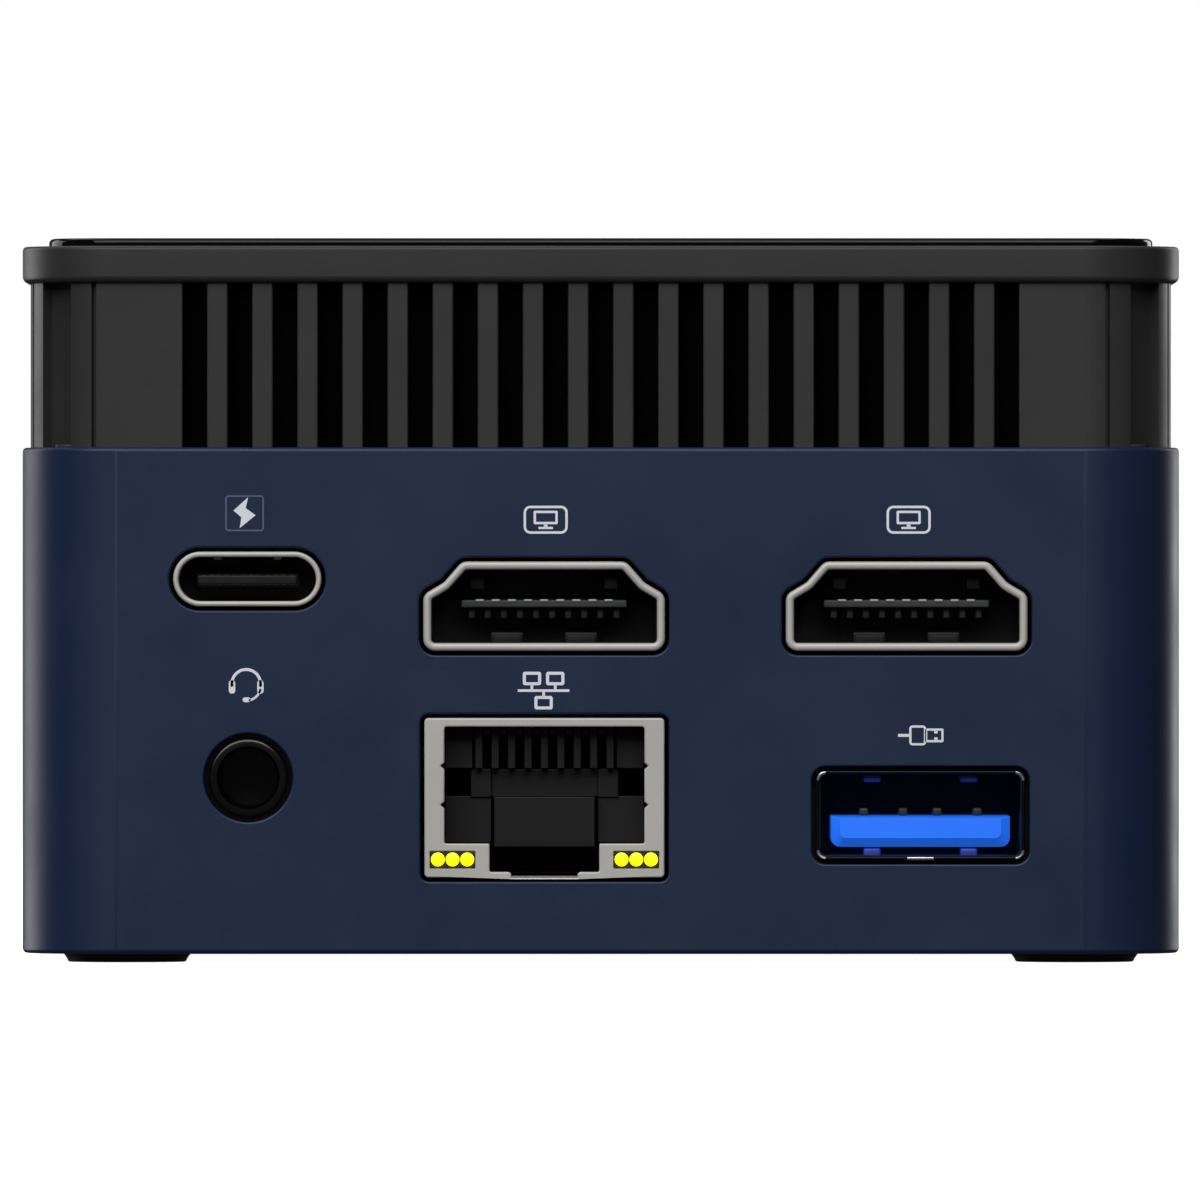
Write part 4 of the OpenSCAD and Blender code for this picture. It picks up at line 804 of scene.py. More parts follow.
@dataclass
class VentRing:
    """Slotted ring between the case and the lid.

    Attributes:
        step: from the case's outer face in to the ring's.
        bar_t: depth of a bar.
        pitch: from one slot to the next.
        slot_w: width of a slot.
        slots: slots on each side.
        edge: radius of the bars' upright edges.
        channel_w: width of the channel down each corner.
        channel_depth: its depth.
        groove_w: width of the thin grooves.
        groove_depth: their depth.
        groove_angle: angle from a flat face round to a groove.
    """

    step: float = 0.5
    bar_t: float = 1.5
    pitch: float = 2.8
    slot_w: float = 1.5
    slots: int = 19
    edge: float = 0.12
    channel_w: float = 2.5
    channel_depth: float = 0.93
    groove_w: float = 0.3
    groove_depth: float = 0.45
    groove_angle: float = 15.5

    def corner_outline(self) -> Outline:
        """Plan of the solid corner between two sides' last slots, in the +X +Y quarter.

        The outer arc carries two grooves and a channel: each groove is two points at
        its full depth, and the channel's floor is a chord square to the diagonal.
        """
        face = HALF - self.step
        radius = CORNER_R - self.step
        centre = face - radius
        end = (self.slots - 1) / 2 * self.pitch + self.slot_w / 2
        half_groove = self.groove_w / 2 / radius
        half_channel = math.asin(self.channel_w / 2 / radius)
        floor = radius - self.channel_depth
        half_floor = math.atan2(self.channel_w / 2, floor)
        middle = math.pi / 4
        groove = math.radians(self.groove_angle)
        deep = radius - self.groove_depth

        def arc(start: float, stop: float, r: float, steps: int) -> list:
            """(angle, radius) points from start to stop."""
            return [(a, r) for a in np.linspace(start, stop, steps)]

        half = [
            *arc(0.02, groove - half_groove, radius, 5), *arc(groove - half_groove, groove + half_groove, deep, 2),
            *arc(groove + half_groove, middle - half_channel, radius, 6),
        ]
        path = [*half, (middle - half_floor, math.hypot(floor, self.channel_w / 2)),
                (middle + half_floor, math.hypot(floor, self.channel_w / 2)),
                *[(math.pi / 2 - a, r) for a, r in reversed(half)]]
        angle, reach = np.array(path).T
        outer = centre + np.stack([reach * np.cos(angle), reach * np.sin(angle)], axis=1)
        inner_angle = np.linspace(math.pi / 2, 0, 9)
        inner = centre + (radius - self.bar_t) * np.stack([np.cos(inner_angle), np.sin(inner_angle)], axis=1)
        back = face - self.bar_t
        points = np.concatenate([[(face, end)], [(face, centre)], outer, [(centre, face)], [(end, face)],
                                 [(end, back)], inner, [(back, end)]])
        size = np.full(len(points), 0.012)
        size[[0, len(outer) + 3]] = self.edge
        return rounded(points, size, 3)

    def build(self) -> None:
        """Builds the ring as one mesh (corners, bars, two rims) and the matt black sheet let into its bars, which is
        painted shade that keeps the slots plain black.
        """
        low, high = CASE_TOP, VENT_TOP
        skin = Skin(upright())
        corner = self.corner_outline()
        bar = rectangle(self.pitch - self.slot_w, self.bar_t, self.edge, 4)
        mid = HALF - self.step - self.bar_t / 2
        places = (np.arange(self.slots - 1) - (self.slots - 2) / 2) * self.pitch
        for quarter_turn in range(4):
            angle = quarter_turn * math.pi / 2
            skin.sweep(corner.turned(angle), [(0, low), (0, high)], cap_first=True, cap_last=True)
            for place in places:
                one = bar.moved(float(place), -mid).turned(angle)
                skin.sweep(one, [(0, low), (0, high)], cap_first=True, cap_last=True)
        ring_low, ring_high = corners("vent_ring")
        outline = rectangle(2 * HALF, 2 * HALF, CORNER_R, 14)
        rim_out, rim_in, lap = WALL_T + SEAT_GAP, WALL_T + SEAT_GAP + RIM_T, 0.8
        reach = self.step + self.bar_t - 0.3
        lower = [(rim_out, float(ring_low[2])), (rim_out, low), (reach, low), (reach, low + lap), (rim_in, low + lap),
                 (rim_in, float(ring_low[2]))]
        upper = [(reach, high - lap), (reach, high), (rim_out, high), (rim_out, float(ring_high[2])),
                 (rim_in, float(ring_high[2])), (rim_in, high - lap)]
        skin.sweep(outline, lower, ring=True)
        skin.sweep(outline, upper, ring=True)
        for sx, sy in ((-1, -1), (1, -1), (1, 1), (-1, 1)):
            skin.place = upright(sx * (HALF - 6.0), sy * (HALF - 6.0))
            skin.solid(rectangle(8.0, 8.0, 1.0, 4), float(ring_low[2]), float(ring_low[2]) + 2.0, foot=0.1)
        finish_piece(skin.build("vent_bars", merge=0.0001), RING_ABS, "ring_plastic", "vent_ring")
        # The black sheet behind the slots is painted shade.
        face, back = reach - 0.08, reach - 0.01
        shade_steps = [(face, low + 0.01), (face, high - 0.01), (back, high - 0.01), (back, low + 0.01)]
        shade_skin = Skin(upright()).sweep(outline, shade_steps, ring=True)
        finish_piece(shade_skin.build("slot_shade_sheet"), SLOT_SHADE_SHEET, "ring_plastic")


# ---------------------------------------------------------------- lid


@dataclass
class Lid:
    """Lid band and the gloss panel let into it.

    Attributes:
        lower_edge: radius of the band's lower edge.
        upper_edge: radius of the band's upper edge.
        panel_edge: radius of the panel's upper edge.
        panel_gap: gap round the panel.
        tongue_gap: gap between a tongue and the ring's upper rim.
        tongue_w: width of the four tongues that hold the lid.
        tongue_t: their thickness.
        hook_t: thickness of the hook at a tongue's foot.
        hook_h: height of the hook.
    """

    lower_edge: float = 0.45
    upper_edge: float = 0.25
    panel_edge: float = 0.3
    panel_gap: float = 0.1
    tongue_gap: float = 0.1
    tongue_w: float = 12.0
    tongue_t: float = 0.9
    hook_t: float = 0.6
    hook_h: float = 1.0

    def build(self) -> None:
        """Builds and dresses the band and the panel."""
        panel_low, panel_high = corners("top_panel")
        inset = HALF - float(panel_high[0])
        seat = float(panel_low[2])
        plate_low = seat - 1.0
        outline = rectangle(2 * HALF, 2 * HALF, CORNER_R, 25)
        mouth = inset - self.panel_gap
        profile = [
            (WALL_T + SEAT_GAP, plate_low), (WALL_T + SEAT_GAP, VENT_TOP + 0.1), (WALL_T + 0.05, VENT_TOP),
            *quarter((self.lower_edge, VENT_TOP), (0, VENT_TOP + self.lower_edge), True, 7),
            *quarter((0, LID_TOP - self.upper_edge), (self.upper_edge, LID_TOP), False, 6),
            (mouth - 0.12, LID_TOP), (mouth, LID_TOP - 0.12), (mouth, seat),
        ]
        skin = Skin(upright()).sweep(outline, profile, cap_first=True, cap_last=True)
        tongue_low, face = float(corners("top_cap")[0][2]), HALF - WALL_T - SEAT_GAP - RIM_T - self.tongue_gap
        for sx, sy in ((1, 0), (-1, 0), (0, 1), (0, -1)):
            skin.place = upright(sx * (face - self.tongue_t / 2), sy * (face - self.tongue_t / 2))
            shape = rectangle(self.tongue_t if sx else self.tongue_w, self.tongue_t if sy else self.tongue_w, 0.1, 3)
            skin.solid(shape, tongue_low, plate_low + 0.01, edge=0.1)
            skin.place = upright(sx * (face + 0.2), sy * (face + 0.2))
            shape = rectangle(self.hook_t if sx else self.tongue_w, self.hook_t if sy else self.tongue_w, 0.1, 3)
            skin.solid(shape, tongue_low, tongue_low + self.hook_h, edge=0.1, foot=0.2)
        finish_piece(skin.build("lid_band"), RING_ABS, "ring_plastic", "top_cap")
        wide = 2 * float(panel_high[0])
        top = float(panel_high[2])
        shape = rectangle(wide, wide, CORNER_R - inset, 25)
        sides = [(0, seat), *quarter((0, top - self.panel_edge), (self.panel_edge, top), False, 7)]
        panel = Skin(upright()).sweep(shape, sides, cap_first=True, cap_last=True).build("gloss_panel_plate")
        finish_piece(panel, PANEL_ACRYLIC, "gloss_panel", "top_panel")


# ---------------------------------------------------------------- sockets


def block(skin: Skin, low: Sequence[float], high: Sequence[float], edge: float = 0.05) -> Skin:
    """Adds a block between two (right, up, inwards) corners: a rectangle with round corners, run inwards."""
    low, high = np.array(low, float), np.array(high, float)
    size, mid = high - low, (low + high) / 2
    edge = min(edge, *(size / 3))
    return skin.solid(rectangle(size[0], size[1], edge, 3).moved(mid[0], mid[1]), low[2], high[2], edge=edge)


def tube(skin: Skin, outline: Outline, sheet_t: float, depth: float, lip: float) -> Skin:
    """Adds a drawn sheet tube: its front edge is a half round of radius lip on each side."""
    inner = quarter((sheet_t, lip), (sheet_t - lip, 0), False)
    outer = quarter((lip, 0), (0, lip), True)
    return skin.sweep(outline, [*inner, *outer, (0, depth), (sheet_t, depth)], ring=True)


@dataclass
class UsbC:
    """Slim reversible socket: a drawn oval shell round a thin tongue.

    Attributes:
        sheet_t: thickness of the shell.
        depth: of the shell.
        back: depth at which the insulator fills it.
        tongue_w: width of the tongue.
        tongue_t: thickness of the tongue.
        tongue_up: height of the tongue's middle.
        dimple_x: sideways place of the two dimples pressed into the shell's upper side.
    """

    sheet_t: float = 0.33
    depth: float = 8.2
    back: float = 5.4
    tongue_w: float = 6.2
    tongue_t: float = 0.6
    tongue_up: float = -0.05
    dimple_x: float = 1.86

    def build(self) -> None:
        """Builds the shell with its tabs and dimples, the insulator and the contacts."""
        spot = mount_spot("usb_c_socket")
        skin = tube(spot.skin(), SHAPES.usb_c(), self.sheet_t, self.depth, 0.14)
        for side in (-1, 1):
            block(skin, (side * 2.4 - 0.8, 1.5, 3.1), (side * 2.4 + 0.8, 1.73, 5.1), 0.03)
            block(skin, (side * self.dimple_x - 0.25, 1.2, 1.7), (side * self.dimple_x + 0.25, 1.5, 2.9), 0.09)
        finish_piece(skin.build("usb_c_tube"), TIN, "socket_metal", "usb_c_shell")
        core = spot.skin()
        core.solid(SHAPES.usb_c().grown(-self.sheet_t + 0.02), self.back, self.depth)
        half, low, high = self.tongue_w / 2, self.tongue_up - self.tongue_t / 2, self.tongue_up + self.tongue_t / 2
        block(core, (-half, low, 0.6), (half, high, self.back + 0.02), 0.12)
        block(core, (-half - 0.2, low - 0.25, 3.4), (half + 0.2, high + 0.25, self.back + 0.02), 0.2)
        finish_piece(core.build("usb_c_tongue"), SOCKET_NYLON, "socket_plastic", "usb_c_core")
        pins = spot.skin()
        for level in (low, high):
            for place in (np.arange(12) - 5.5) * 0.5:
                block(pins, (place - 0.12, level - 0.01, 1.5), (place + 0.12, level + 0.01, 3.5), 0.003)
        finish_piece(pins.build("usb_c_pads"), GOLD, "contact_gold")


@dataclass
class ScreenSocket:
    """Trapezium screen socket: sheet shell, black tongue with a row of contacts on each face.

    Attributes:
        side: "left" or "right".
        sheet_t: width of the shell's folded rim.
        depth: of the shell.
        back: depth at which the insulator fills it.
        tongue: half width, underside and upper side of the tongue.
        pitch: from one contact to the next.
        spring_x: sideways place of the two springs under the plug.
        pocket_x: sideways place of the two pockets over it.
    """

    side: str
    sheet_t: float = 0.5
    depth: float = 10.8
    back: float = 6.6
    tongue: tuple[float, float, float] = (5.15, -0.08, 0.4)
    pitch: float = 1.0
    spring_x: float = 2.3
    pocket_x: float = 4.15

    def build(self) -> None:
        """Builds the shell, the insulator with its springs' slots, and the contacts."""
        spot = mount_spot(f"screen_socket_{self.side}")
        shape = SHAPES.hdmi()
        skin = tube(spot.skin(), shape, self.sheet_t, self.depth, 0.2)
        for side in (-1, 1):
            block(skin, (side * 3.6 - 0.8, 2.5, 4.4), (side * 3.6 + 0.8, 2.82, 6.4), 0.03)
        finish_piece(skin.build(f"hdmi_{self.side}_tube"), TIN, "socket_metal", f"hdmi_{self.side}_shell")
        half, low, high = self.tongue
        core = spot.skin()
        core.solid(shape.grown(-self.sheet_t + 0.02), self.back, self.depth)
        # A thin black liner over the inside of the shell: painted shade.
        shade_liner = shape.grown(-self.sheet_t + 0.01)
        core.sweep(shade_liner, [(0, 0.45), (0, self.back), (0.06, self.back), (0.06, 0.45)], ring=True)
        for side in (-1, 1):
            x = side * self.spring_x
            block(core, (x - 1.02, -2.3, 0.9), (x + 1.02, -1.6, 5.0), 0.1)
            block(core, (x - 0.9, -2.29, 0.8), (x + 0.9, -1.75, 1.0), 0.05)
            x = side * self.pocket_x
            block(core, (x - 0.42, 1.07, 2.2), (x + 0.42, 1.82, self.back), 0.05)
        finish_piece(core.build(f"hdmi_{self.side}_body"), SOCKET_NYLON, "socket_plastic", f"hdmi_{self.side}_core")
        bar = block(spot.skin(), (-half, low, 1.6), (half, high, self.back + 0.02), 0.1)
        finish_piece(bar.build(f"hdmi_{self.side}_tongue"), TONGUE_LCP, "socket_plastic")
        pins = spot.skin()
        for place in (np.arange(9) - 4.0) * self.pitch:
            block(pins, (place - 0.25, high - 0.1, 1.5), (place + 0.25, high + 0.04, 6.4), 0.03)
        finish_piece(pins.build(f"hdmi_{self.side}_pins"), CONTACT_GREY, "contact_gold",
                     f"hdmi_{self.side}_contacts")
        feet = spot.skin()
        for place in (np.arange(10) - 4.5) * self.pitch:
            block(feet, (place - 0.22, low - 0.68, 2.4), (place + 0.22, low + 0.02, 3.0), 0.1)
        finish_piece(feet.build(f"hdmi_{self.side}_lower_pins"), CONTACT_DARK, "contact_gold")


@dataclass
class HeadsetJack:
    """Round headset socket: a black collar with a bevelled mouth, and its body behind the wall.

    Attributes:
        depth: of the body.
        bore: length of the bore.
        face: depth of the collar's face below the wall.
        bevel: width of the mouth's bevel.
    """

    depth: float = 12.0
    bore: float = 11.0
    face: float = 0.1
    bevel: float = 0.16

    def build(self) -> None:
        """Builds the collar and the body as one closed piece."""
        spot = mount_spot("headset_bore")
        body = spot.skin()
        collar = circle(SHAPES.jack_collar_r, 64)
        mouth = SHAPES.jack_collar_r - SHAPES.jack_bore_r
        profile = [
            (SHAPES.jack_collar_r - 0.4, self.bore), (mouth, self.bore), (mouth, self.face + self.bevel * 2),
            (mouth - self.bevel, self.face), *quarter((0.2, self.face), (0, self.face + 0.2), True),
            (0, WALL_T + 0.1),
        ]
        body.sweep(collar, profile, cap_first=True)
        up = float(corners("jack_body")[1][2]) - spot.up
        box = rectangle(6.4, up + 2.9, 0.15, 3).moved(0, (up - 2.9) / 2)
        body.sheet(box.at(0), [collar.at(0)], WALL_T + 0.1)
        body.sweep(box, [(0, WALL_T + 0.1), (0, self.depth)], cap_last=True)
        finish_piece(body.build("jack_housing"), JACK_PBT, "socket_plastic", "jack_body")


@dataclass
class NetworkSocket:
    """Network socket, latch slot down: pierced shield, stepped well, slanting springs, two lamp windows.

    Attributes:
        depth: of the shield.
        sheet_t: thickness of the front plate.
        well_depth: depth of the well.
        lamp: sideways and upward place of a lamp window, its width and its height.
        dot_pitch: from one lit dot to the next.
        dot_r: radius of a dot.
        nick: height of each triangular nick in the sides of the opening, and its depth.
        comb_pitch: from one contact slot to the next.
    """

    depth: float = 16.0
    sheet_t: float = 0.4
    well_depth: float = 12.0
    lamp: tuple[float, float, float, float] = (5.7, -3.85, 2.84, 1.1)
    dot_pitch: float = 0.91
    dot_r: float = 0.46
    nick: tuple[float, float] = (0.4, 0.24)
    comb_pitch: float = 1.02

    def well(self) -> Outline:
        """Outline of the opening: a wide well, two steps down to the latch slot, two nicks in each side."""
        tall, deep = self.nick
        sides = [(6.2, -2.84)]
        for up in (-0.45, 1.97):
            sides += [(6.2, up - tall / 2), (6.2 + deep, up), (6.2, up + tall / 2)]
        right = [(2.05, -4.95), (2.05, -4.6), (3.4, -4.6), (3.4, -2.84), *sides, (6.2, 4.4)]
        left = [(-x, y) for x, y in reversed(right)]
        size = [0.02, 0.2, 0.12, 0.1, 0.12, *[0.03] * 6, 0.15]
        return rounded(right + left, size + size[::-1], 4)

    def shield(self, spot: Spot, well: Outline, panes: Sequence[Outline]) -> None:
        """Builds the folded shield with its pierced front plate."""
        outline = SHAPES.lan()
        lip = 0.1
        skin = spot.skin()
        skin.sweep(outline, [*quarter((lip, 0), (0, lip), True), (0, self.depth)], cap_last=True)
        skin.sheet(outline.at(lip), [well.at(-lip), *(pane.at(-0.03) for pane in panes)], 0.0)
        skin.sheet(outline.at(0.3), [well.at(0), *(pane.at(0) for pane in panes)], self.sheet_t)
        skin.sweep(well, [*quarter((-lip, 0), (0, lip), True), (0, self.sheet_t)])
        for pane in panes:
            skin.sweep(pane, [(-0.03, 0), (0, 0.03), (0, self.sheet_t)])
        finish_piece(skin.build("lan_case"), TIN, "socket_metal", "lan_shield")

    def body(self, spot: Spot, well: Outline, panes: Sequence[Outline]) -> None:
        """Builds the insulator: well, latch block, comb between the springs, side ledges."""
        outline, start = SHAPES.lan(), self.sheet_t + 0.01
        skin = spot.skin()
        skin.sheet(outline.at(0.3), [well.at(-0.02), *(pane.at(-0.02) for pane in panes)], start)
        skin.sweep(well, [(-0.02, start), (-0.02, self.well_depth)], cap_last=True)
        for pane in panes:
            skin.sweep(pane, [(-0.02, start), (-0.02, 3.0)], cap_last=True)
        skin.sweep(outline, [(0.3, start), (0.3, self.depth - 0.02)], cap_last=True)
        block(skin, (-3.15, -3.1, 2.4), (3.15, 0.05, self.well_depth), 0.08)
        for side in (-1, 1):
            low, high = sorted((side * 6.2, side * 3.3))
            block(skin, (low, -2.84, 3.2), (high, 0.1, self.well_depth), 0.06)
            low, high = sorted((side * 4.6, side * 3.3))
            block(skin, (low, 0.0, 3.0), (high, 1.8, self.well_depth), 0.06)
            low, high = sorted((side * 6.2, side * 4.45))
            block(skin, (low, 1.8, 2.6), (high, 4.4, self.well_depth), 0.06)
        for place in (np.arange(9) - 4.0) * self.comb_pitch:
            block(skin, (place - 0.24, 1.8, 2.0), (place + 0.24, 4.4, self.well_depth), 0.05)
        block(skin, (-4.4, 0.02, 3.4), (4.4, 1.8, self.well_depth), 0.06)
        finish_piece(skin.build("lan_well"), SOCKET_NYLON, "socket_plastic", "lan_core")

    def springs(self, spot: Spot) -> None:
        """Builds the eight springs: each a flat bar P = start + (0, -0.35, 1) * run, inside its slot."""
        skin = spot.skin()
        run = np.array([0.0, 7.0])
        for place in (np.arange(8) - 3.5) * self.comb_pitch:
            loop = rectangle(0.4, 0.26, 0.08, 3).at(0)
            across = np.broadcast_to(place + loop[:, 0], (2, len(loop)))
            up = 4.05 + loop[:, 1] - 0.35 * run[:, None]
            inward = np.broadcast_to(2.6 + run[:, None], up.shape)
            skin.grid(spot.placing()(across, up, inward), close=True)
            first = skin.count - 2 * len(loop)
            skin.faces += [list(range(first, first + len(loop))), list(range(first + len(loop), skin.count))]
        finish_piece(skin.build("lan_springs"), CONTACT_DARK, "contact_gold", "lan_contacts")

    def build(self) -> None:
        """Builds the shield, the insulator, the springs and the lamps."""
        spot = mount_spot("network_socket")
        x, y, wide, tall = self.lamp
        panes = [rectangle(wide, tall, 0.08, 3).moved(side * x, y) for side in (-1, 1)]
        well = self.well()
        self.shield(spot, well, panes)
        self.body(spot, well, panes)
        self.springs(spot)
        glass, dots = spot.skin(), spot.skin()
        for side, pane in zip((-1, 1), panes):
            glass.solid(pane.grown(-0.02), 0.08, 3.0, edge=0.04)
            for step in (-1, 0, 1):
                dome = [*quarter((self.dot_r - 0.05, 0.03), (0.0, 0.1), True, 4), (0, 0.3)]
                disc = circle(self.dot_r, 28).moved(side * x + step * self.dot_pitch, y + 0.02)
                dots.sweep(disc, dome, cap_first=True, cap_last=True)
        finish_piece(glass.build("lan_windows"), LAMP_WINDOW, "lamp_lens", "lan_lamps")
        finish_piece(dots.build("lan_lit_dots"), LAMP_GLOW, "lamp_lens")


@dataclass
class UsbSocket:
    """Flat USB socket, tongue below: sheet shell with spring tabs, blue tongue with a bevelled nose.

    Attributes:
        sheet_t: thickness of the shell.
        depth: of the shell.
        back: depth at which the insulator fills it.
        face: depth of the tongue's nose.
        tongue: half width, underside and upper side of the tongue.
        nose: the same three of the flat in the middle of its nose.
        contact_x: sideways places of the four flat contacts.
        tab_x: sideways place of the spring tabs.
    """

    sheet_t: float = 0.22
    depth: float = 14.0
    back: float = 9.6
    face: float = 0.4
    tongue: tuple[float, float, float] = (5.55, -1.96, -0.04)
    nose: tuple[float, float, float] = (5.0, -1.42, -0.16)
    contact_x: tuple[float, ...] = (-3.5, -1.06, 1.06, 3.55)
    tab_x: float = 3.0

    def shell(self, skin: Skin) -> None:
        """Adds the tube, in the darkened sheet: painted shade over its inside and the straight runs of its front
        edge.
        """
        tube(skin, SHAPES.usb(), self.sheet_t, self.depth, 0.09)

    def lips(self, skin: Skin) -> None:
        """Adds the parts of the front edge kept in the bright plated colour against the tube's painted shade: the
        four flared corners and the seam's tongue.
        """
        outline = SHAPES.usb()
        steps = len(outline.radius) // 4
        skip = np.array([[(k + 1) * steps - 1, step] for k in range(4) for step in range(6)])
        lip = [(0.02, 0.1), (0.05, 0.0), (0.1, -0.03), (0.18, -0.02), (0.23, 0.03), (0.24, 0.3)]
        skin.sweep(outline, lip, skip=skip[skip[:, 1] < len(lip) - 1])
        block(skin, (-0.87, -2.79, -0.03), (0.87, -2.57, 0.6), 0.08)

    def tabs(self, skin: Skin) -> None:
        """Adds the four springs bent in from the upper and lower sides."""
        inner = SHAPES.usb_h / 2 - self.sheet_t
        for x in (-self.tab_x, self.tab_x):
            for side in (-1, 1):
                near, far = side * (inner + 0.02), side * (inner - 0.5)
                low, high = min(near, far), max(near, far)
                block(skin, (x - 0.54, low, 0.8), (x + 0.54, high, 5.0), 0.12)

    def tongue_nose(self, skin: Skin) -> None:
        """Adds the tongue: its flat nose widens over a bevel to the tongue's own outline."""
        loops = []
        for (half, low, high), depth, r in ((self.nose, self.face, 0.35), (self.nose, self.face + 0.03, 0.42),
                                            (self.tongue, self.face + 0.5, 0.55), (self.tongue, self.back, 0.55)):
            shape = rounded([(-half, low), (half, low), (half, high), (-half, high)], [r, r, 0.06, 0.06], 5)
            points = shape.at(0)
            loops.append(skin.place(points[:, 0], points[:, 1], np.full(len(points), depth)))
        skin.grid(np.stack(loops), close=True)
        n = len(loops[0])
        skin.faces += [list(range(skin.count - 4 * n, skin.count - 3 * n)), list(range(skin.count - n, skin.count))]

    def body(self, skin: Skin) -> None:
        """Adds the black liner, which is painted shade over the inside of the shell, the collar behind the wall, the
        block behind the tongue and the riser.
        """
        shade_liner = SHAPES.usb().grown(-self.sheet_t + 0.01)
        skin.sweep(shade_liner, [(0, 0.35), (0, self.back), (0.08, self.back), (0.08, 0.35)], ring=True)
        skin.solid(SHAPES.usb().grown(-self.sheet_t), self.back, self.depth + 0.02)
        skin.sweep(SHAPES.usb().grown(0.7), [(0, WALL_T + 0.05), (0.75, WALL_T + 0.05), (0.75, WALL_T + 0.3),
                                             (0, WALL_T + 0.3)], ring=True)
        block(skin, (-6.5, -SHAPES.usb_h / 2, self.depth), (6.5, 6.04, self.depth + 0.8), 0.1)
        block(skin, (-6.5, SHAPES.usb_h / 2 + 0.01, 2.2), (6.5, 6.04, self.depth + 0.02), 0.1)

    def pins(self, skin: Skin) -> None:
        """Adds the four flat contacts."""
        for x in self.contact_x:
            block(skin, (x - 0.3, self.tongue[2], 2.2), (x + 0.3, self.tongue[2] + 0.5, 8.6), 0.12)


def build_usb() -> None:
    """Builds the rear USB socket and the two on the button side; each kind of piece is one mesh for the pair."""
    sets = (("rear", ["usb_rear_socket"], "usb_rear_shell", "usb_rear_core"),
            ("front", ["usb_front_socket_a", "usb_front_socket_b"], "usb_front_shells", "usb_front_cores"))
    socket = UsbSocket()
    contacts = Skin(upright())
    for tag, mounts, shell_node, core_node in sets:
        made = {
            # The tubes' dark sheet is painted shade; the lips keep the plain bright plate.
            "tubes": (socket.shell, NICKEL_DARK, "socket_metal", (shell_node,)),
            "lips": (socket.lips, NICKEL, "socket_metal", ()),
            # The tabs' blue is a painted reflection of the blue tongue.
            "tabs": (socket.tabs, USB_SPRING, "socket_metal", ()),
            # The tongues' glow is painted light.
            "tongues": (socket.tongue_nose, USB_BLUE, "usb_blue", (core_node,)),
            "bodies": (socket.body, SOCKET_NYLON, "socket_plastic", ()),
        }
        for part, (add_part, finish, slot_name, nodes) in made.items():
            skin = Skin(upright())
            for mount in mounts:
                skin.place = mount_spot(mount).placing()
                add_part(skin)
            finish_piece(skin.build(f"usb_{tag}_{part}"), finish, slot_name, *nodes)
        for mount in mounts:
            contacts.place = mount_spot(mount).placing()
            socket.pins(contacts)
    finish_piece(contacts.build("usb_pins"), CONTACT_DARK, "contact_gold", "usb_contacts")


# ---------------------------------------------------------------- button side


@dataclass
class PowerButton:
    """Round power button with a shallow dished face, and the light pipe beside it.

    Attributes:
        radius: of the face.
        dish: depth of the dish in its middle.
        edge: radius of its rim.
    """

    radius: float = 3.5
    dish: float = 0.12
    edge: float = 0.25

    def build(self) -> None:
        """Builds the button as one turned profile, and the light pipe."""
        low, high = corners("power_button")
        up = float(low[2] + high[2]) / 2
        face, stem_end = HALF - float(high[1]), HALF - float(low[1])
        lip = WALL_T + 0.05
        spot = Spot(Wall.BUTTON, 0.0, up)
        r = self.radius
        across = np.linspace(0.02, r - self.edge, 8)
        dished = [(r - a, face + self.dish * (1 - (a / (r - self.edge)) ** 2)) for a in across]
        rim = quarter((self.edge, face), (0, face + self.edge), True)
        profile = [*dished, *rim[1:], (0, lip), (-0.7, lip), (-0.7, lip + 0.9), (r - 1.3, lip + 0.9),
                   (r - 1.3, stem_end)]
        skin = spot.skin().sweep(circle(r, 72), profile, cap_first=True, cap_last=True)
        finish_piece(skin.build("power_button_cap"), BUTTON_ABS, "button_plastic", "power_button", body="button")
        mark = spot.skin()
        power_mark(mark, face + self.dish * 0.75 - 0.015)
        finish_piece(mark.build("power_button_mark"), INK, "button_plastic", body="button")
        low, high = corners("power_lamp")
        side = -float(low[0] + high[0]) / 2
        pipe = Spot(Wall.BUTTON, side, up).skin()
        lens = [*quarter((0.75, HALF - float(high[1]) + 0.0), (0, HALF - float(high[1]) + 0.2), True, 6), (0, 3.7)]
        pipe.sweep(circle(0.75, 32), lens, cap_first=True, cap_last=True)
        block(pipe, (-1.0, float(low[2]) - up, 3.68), (1.0, float(high[2]) - up, HALF - float(low[1])), 0.1)
        finish_piece(pipe.build("power_light_pipe"), PIPE_PC, "lamp_pipe", "power_lamp")


def power_mark(skin: Skin, depth: float) -> None:
    """Adds the usual mark of a power button: an open ring with a stroke through its gap."""
    angle = np.linspace(math.radians(125), math.radians(415), 40)
    arc = np.stack([np.cos(angle), np.sin(angle)], axis=1)
    loop = np.concatenate([arc * 1.35, arc[::-1] * 1.15])
    raised(skin, loop, depth)
    raised(skin, np.array([(-0.1, 0.5), (0.1, 0.5), (0.1, 1.6), (-0.1, 1.6)]), depth)


# ---------------------------------------------------------------- printed marks


def raised(skin: Skin, loop: np.ndarray, depth: float = -0.02, under: float = 0.06) -> Skin:
    """Adds a thin layer of ink over an outline, its lower side sunk into the wall."""
    flat = np.zeros((len(loop), 2))
    still = Outline(np.asarray(loop, float), flat[:, 0], flat, flat)
    return skin.sweep(still, [(0, depth), (0, depth + under)], cap_first=True, cap_last=True)


def frame_mark(skin: Skin, outline: Outline, line: float) -> Skin:
    """Adds a thin line of ink that follows an outline."""
    steps = [(0.0, -0.02), (line, -0.02), (line, 0.04), (0.0, 0.04)]
    return skin.sweep(outline, steps, ring=True)


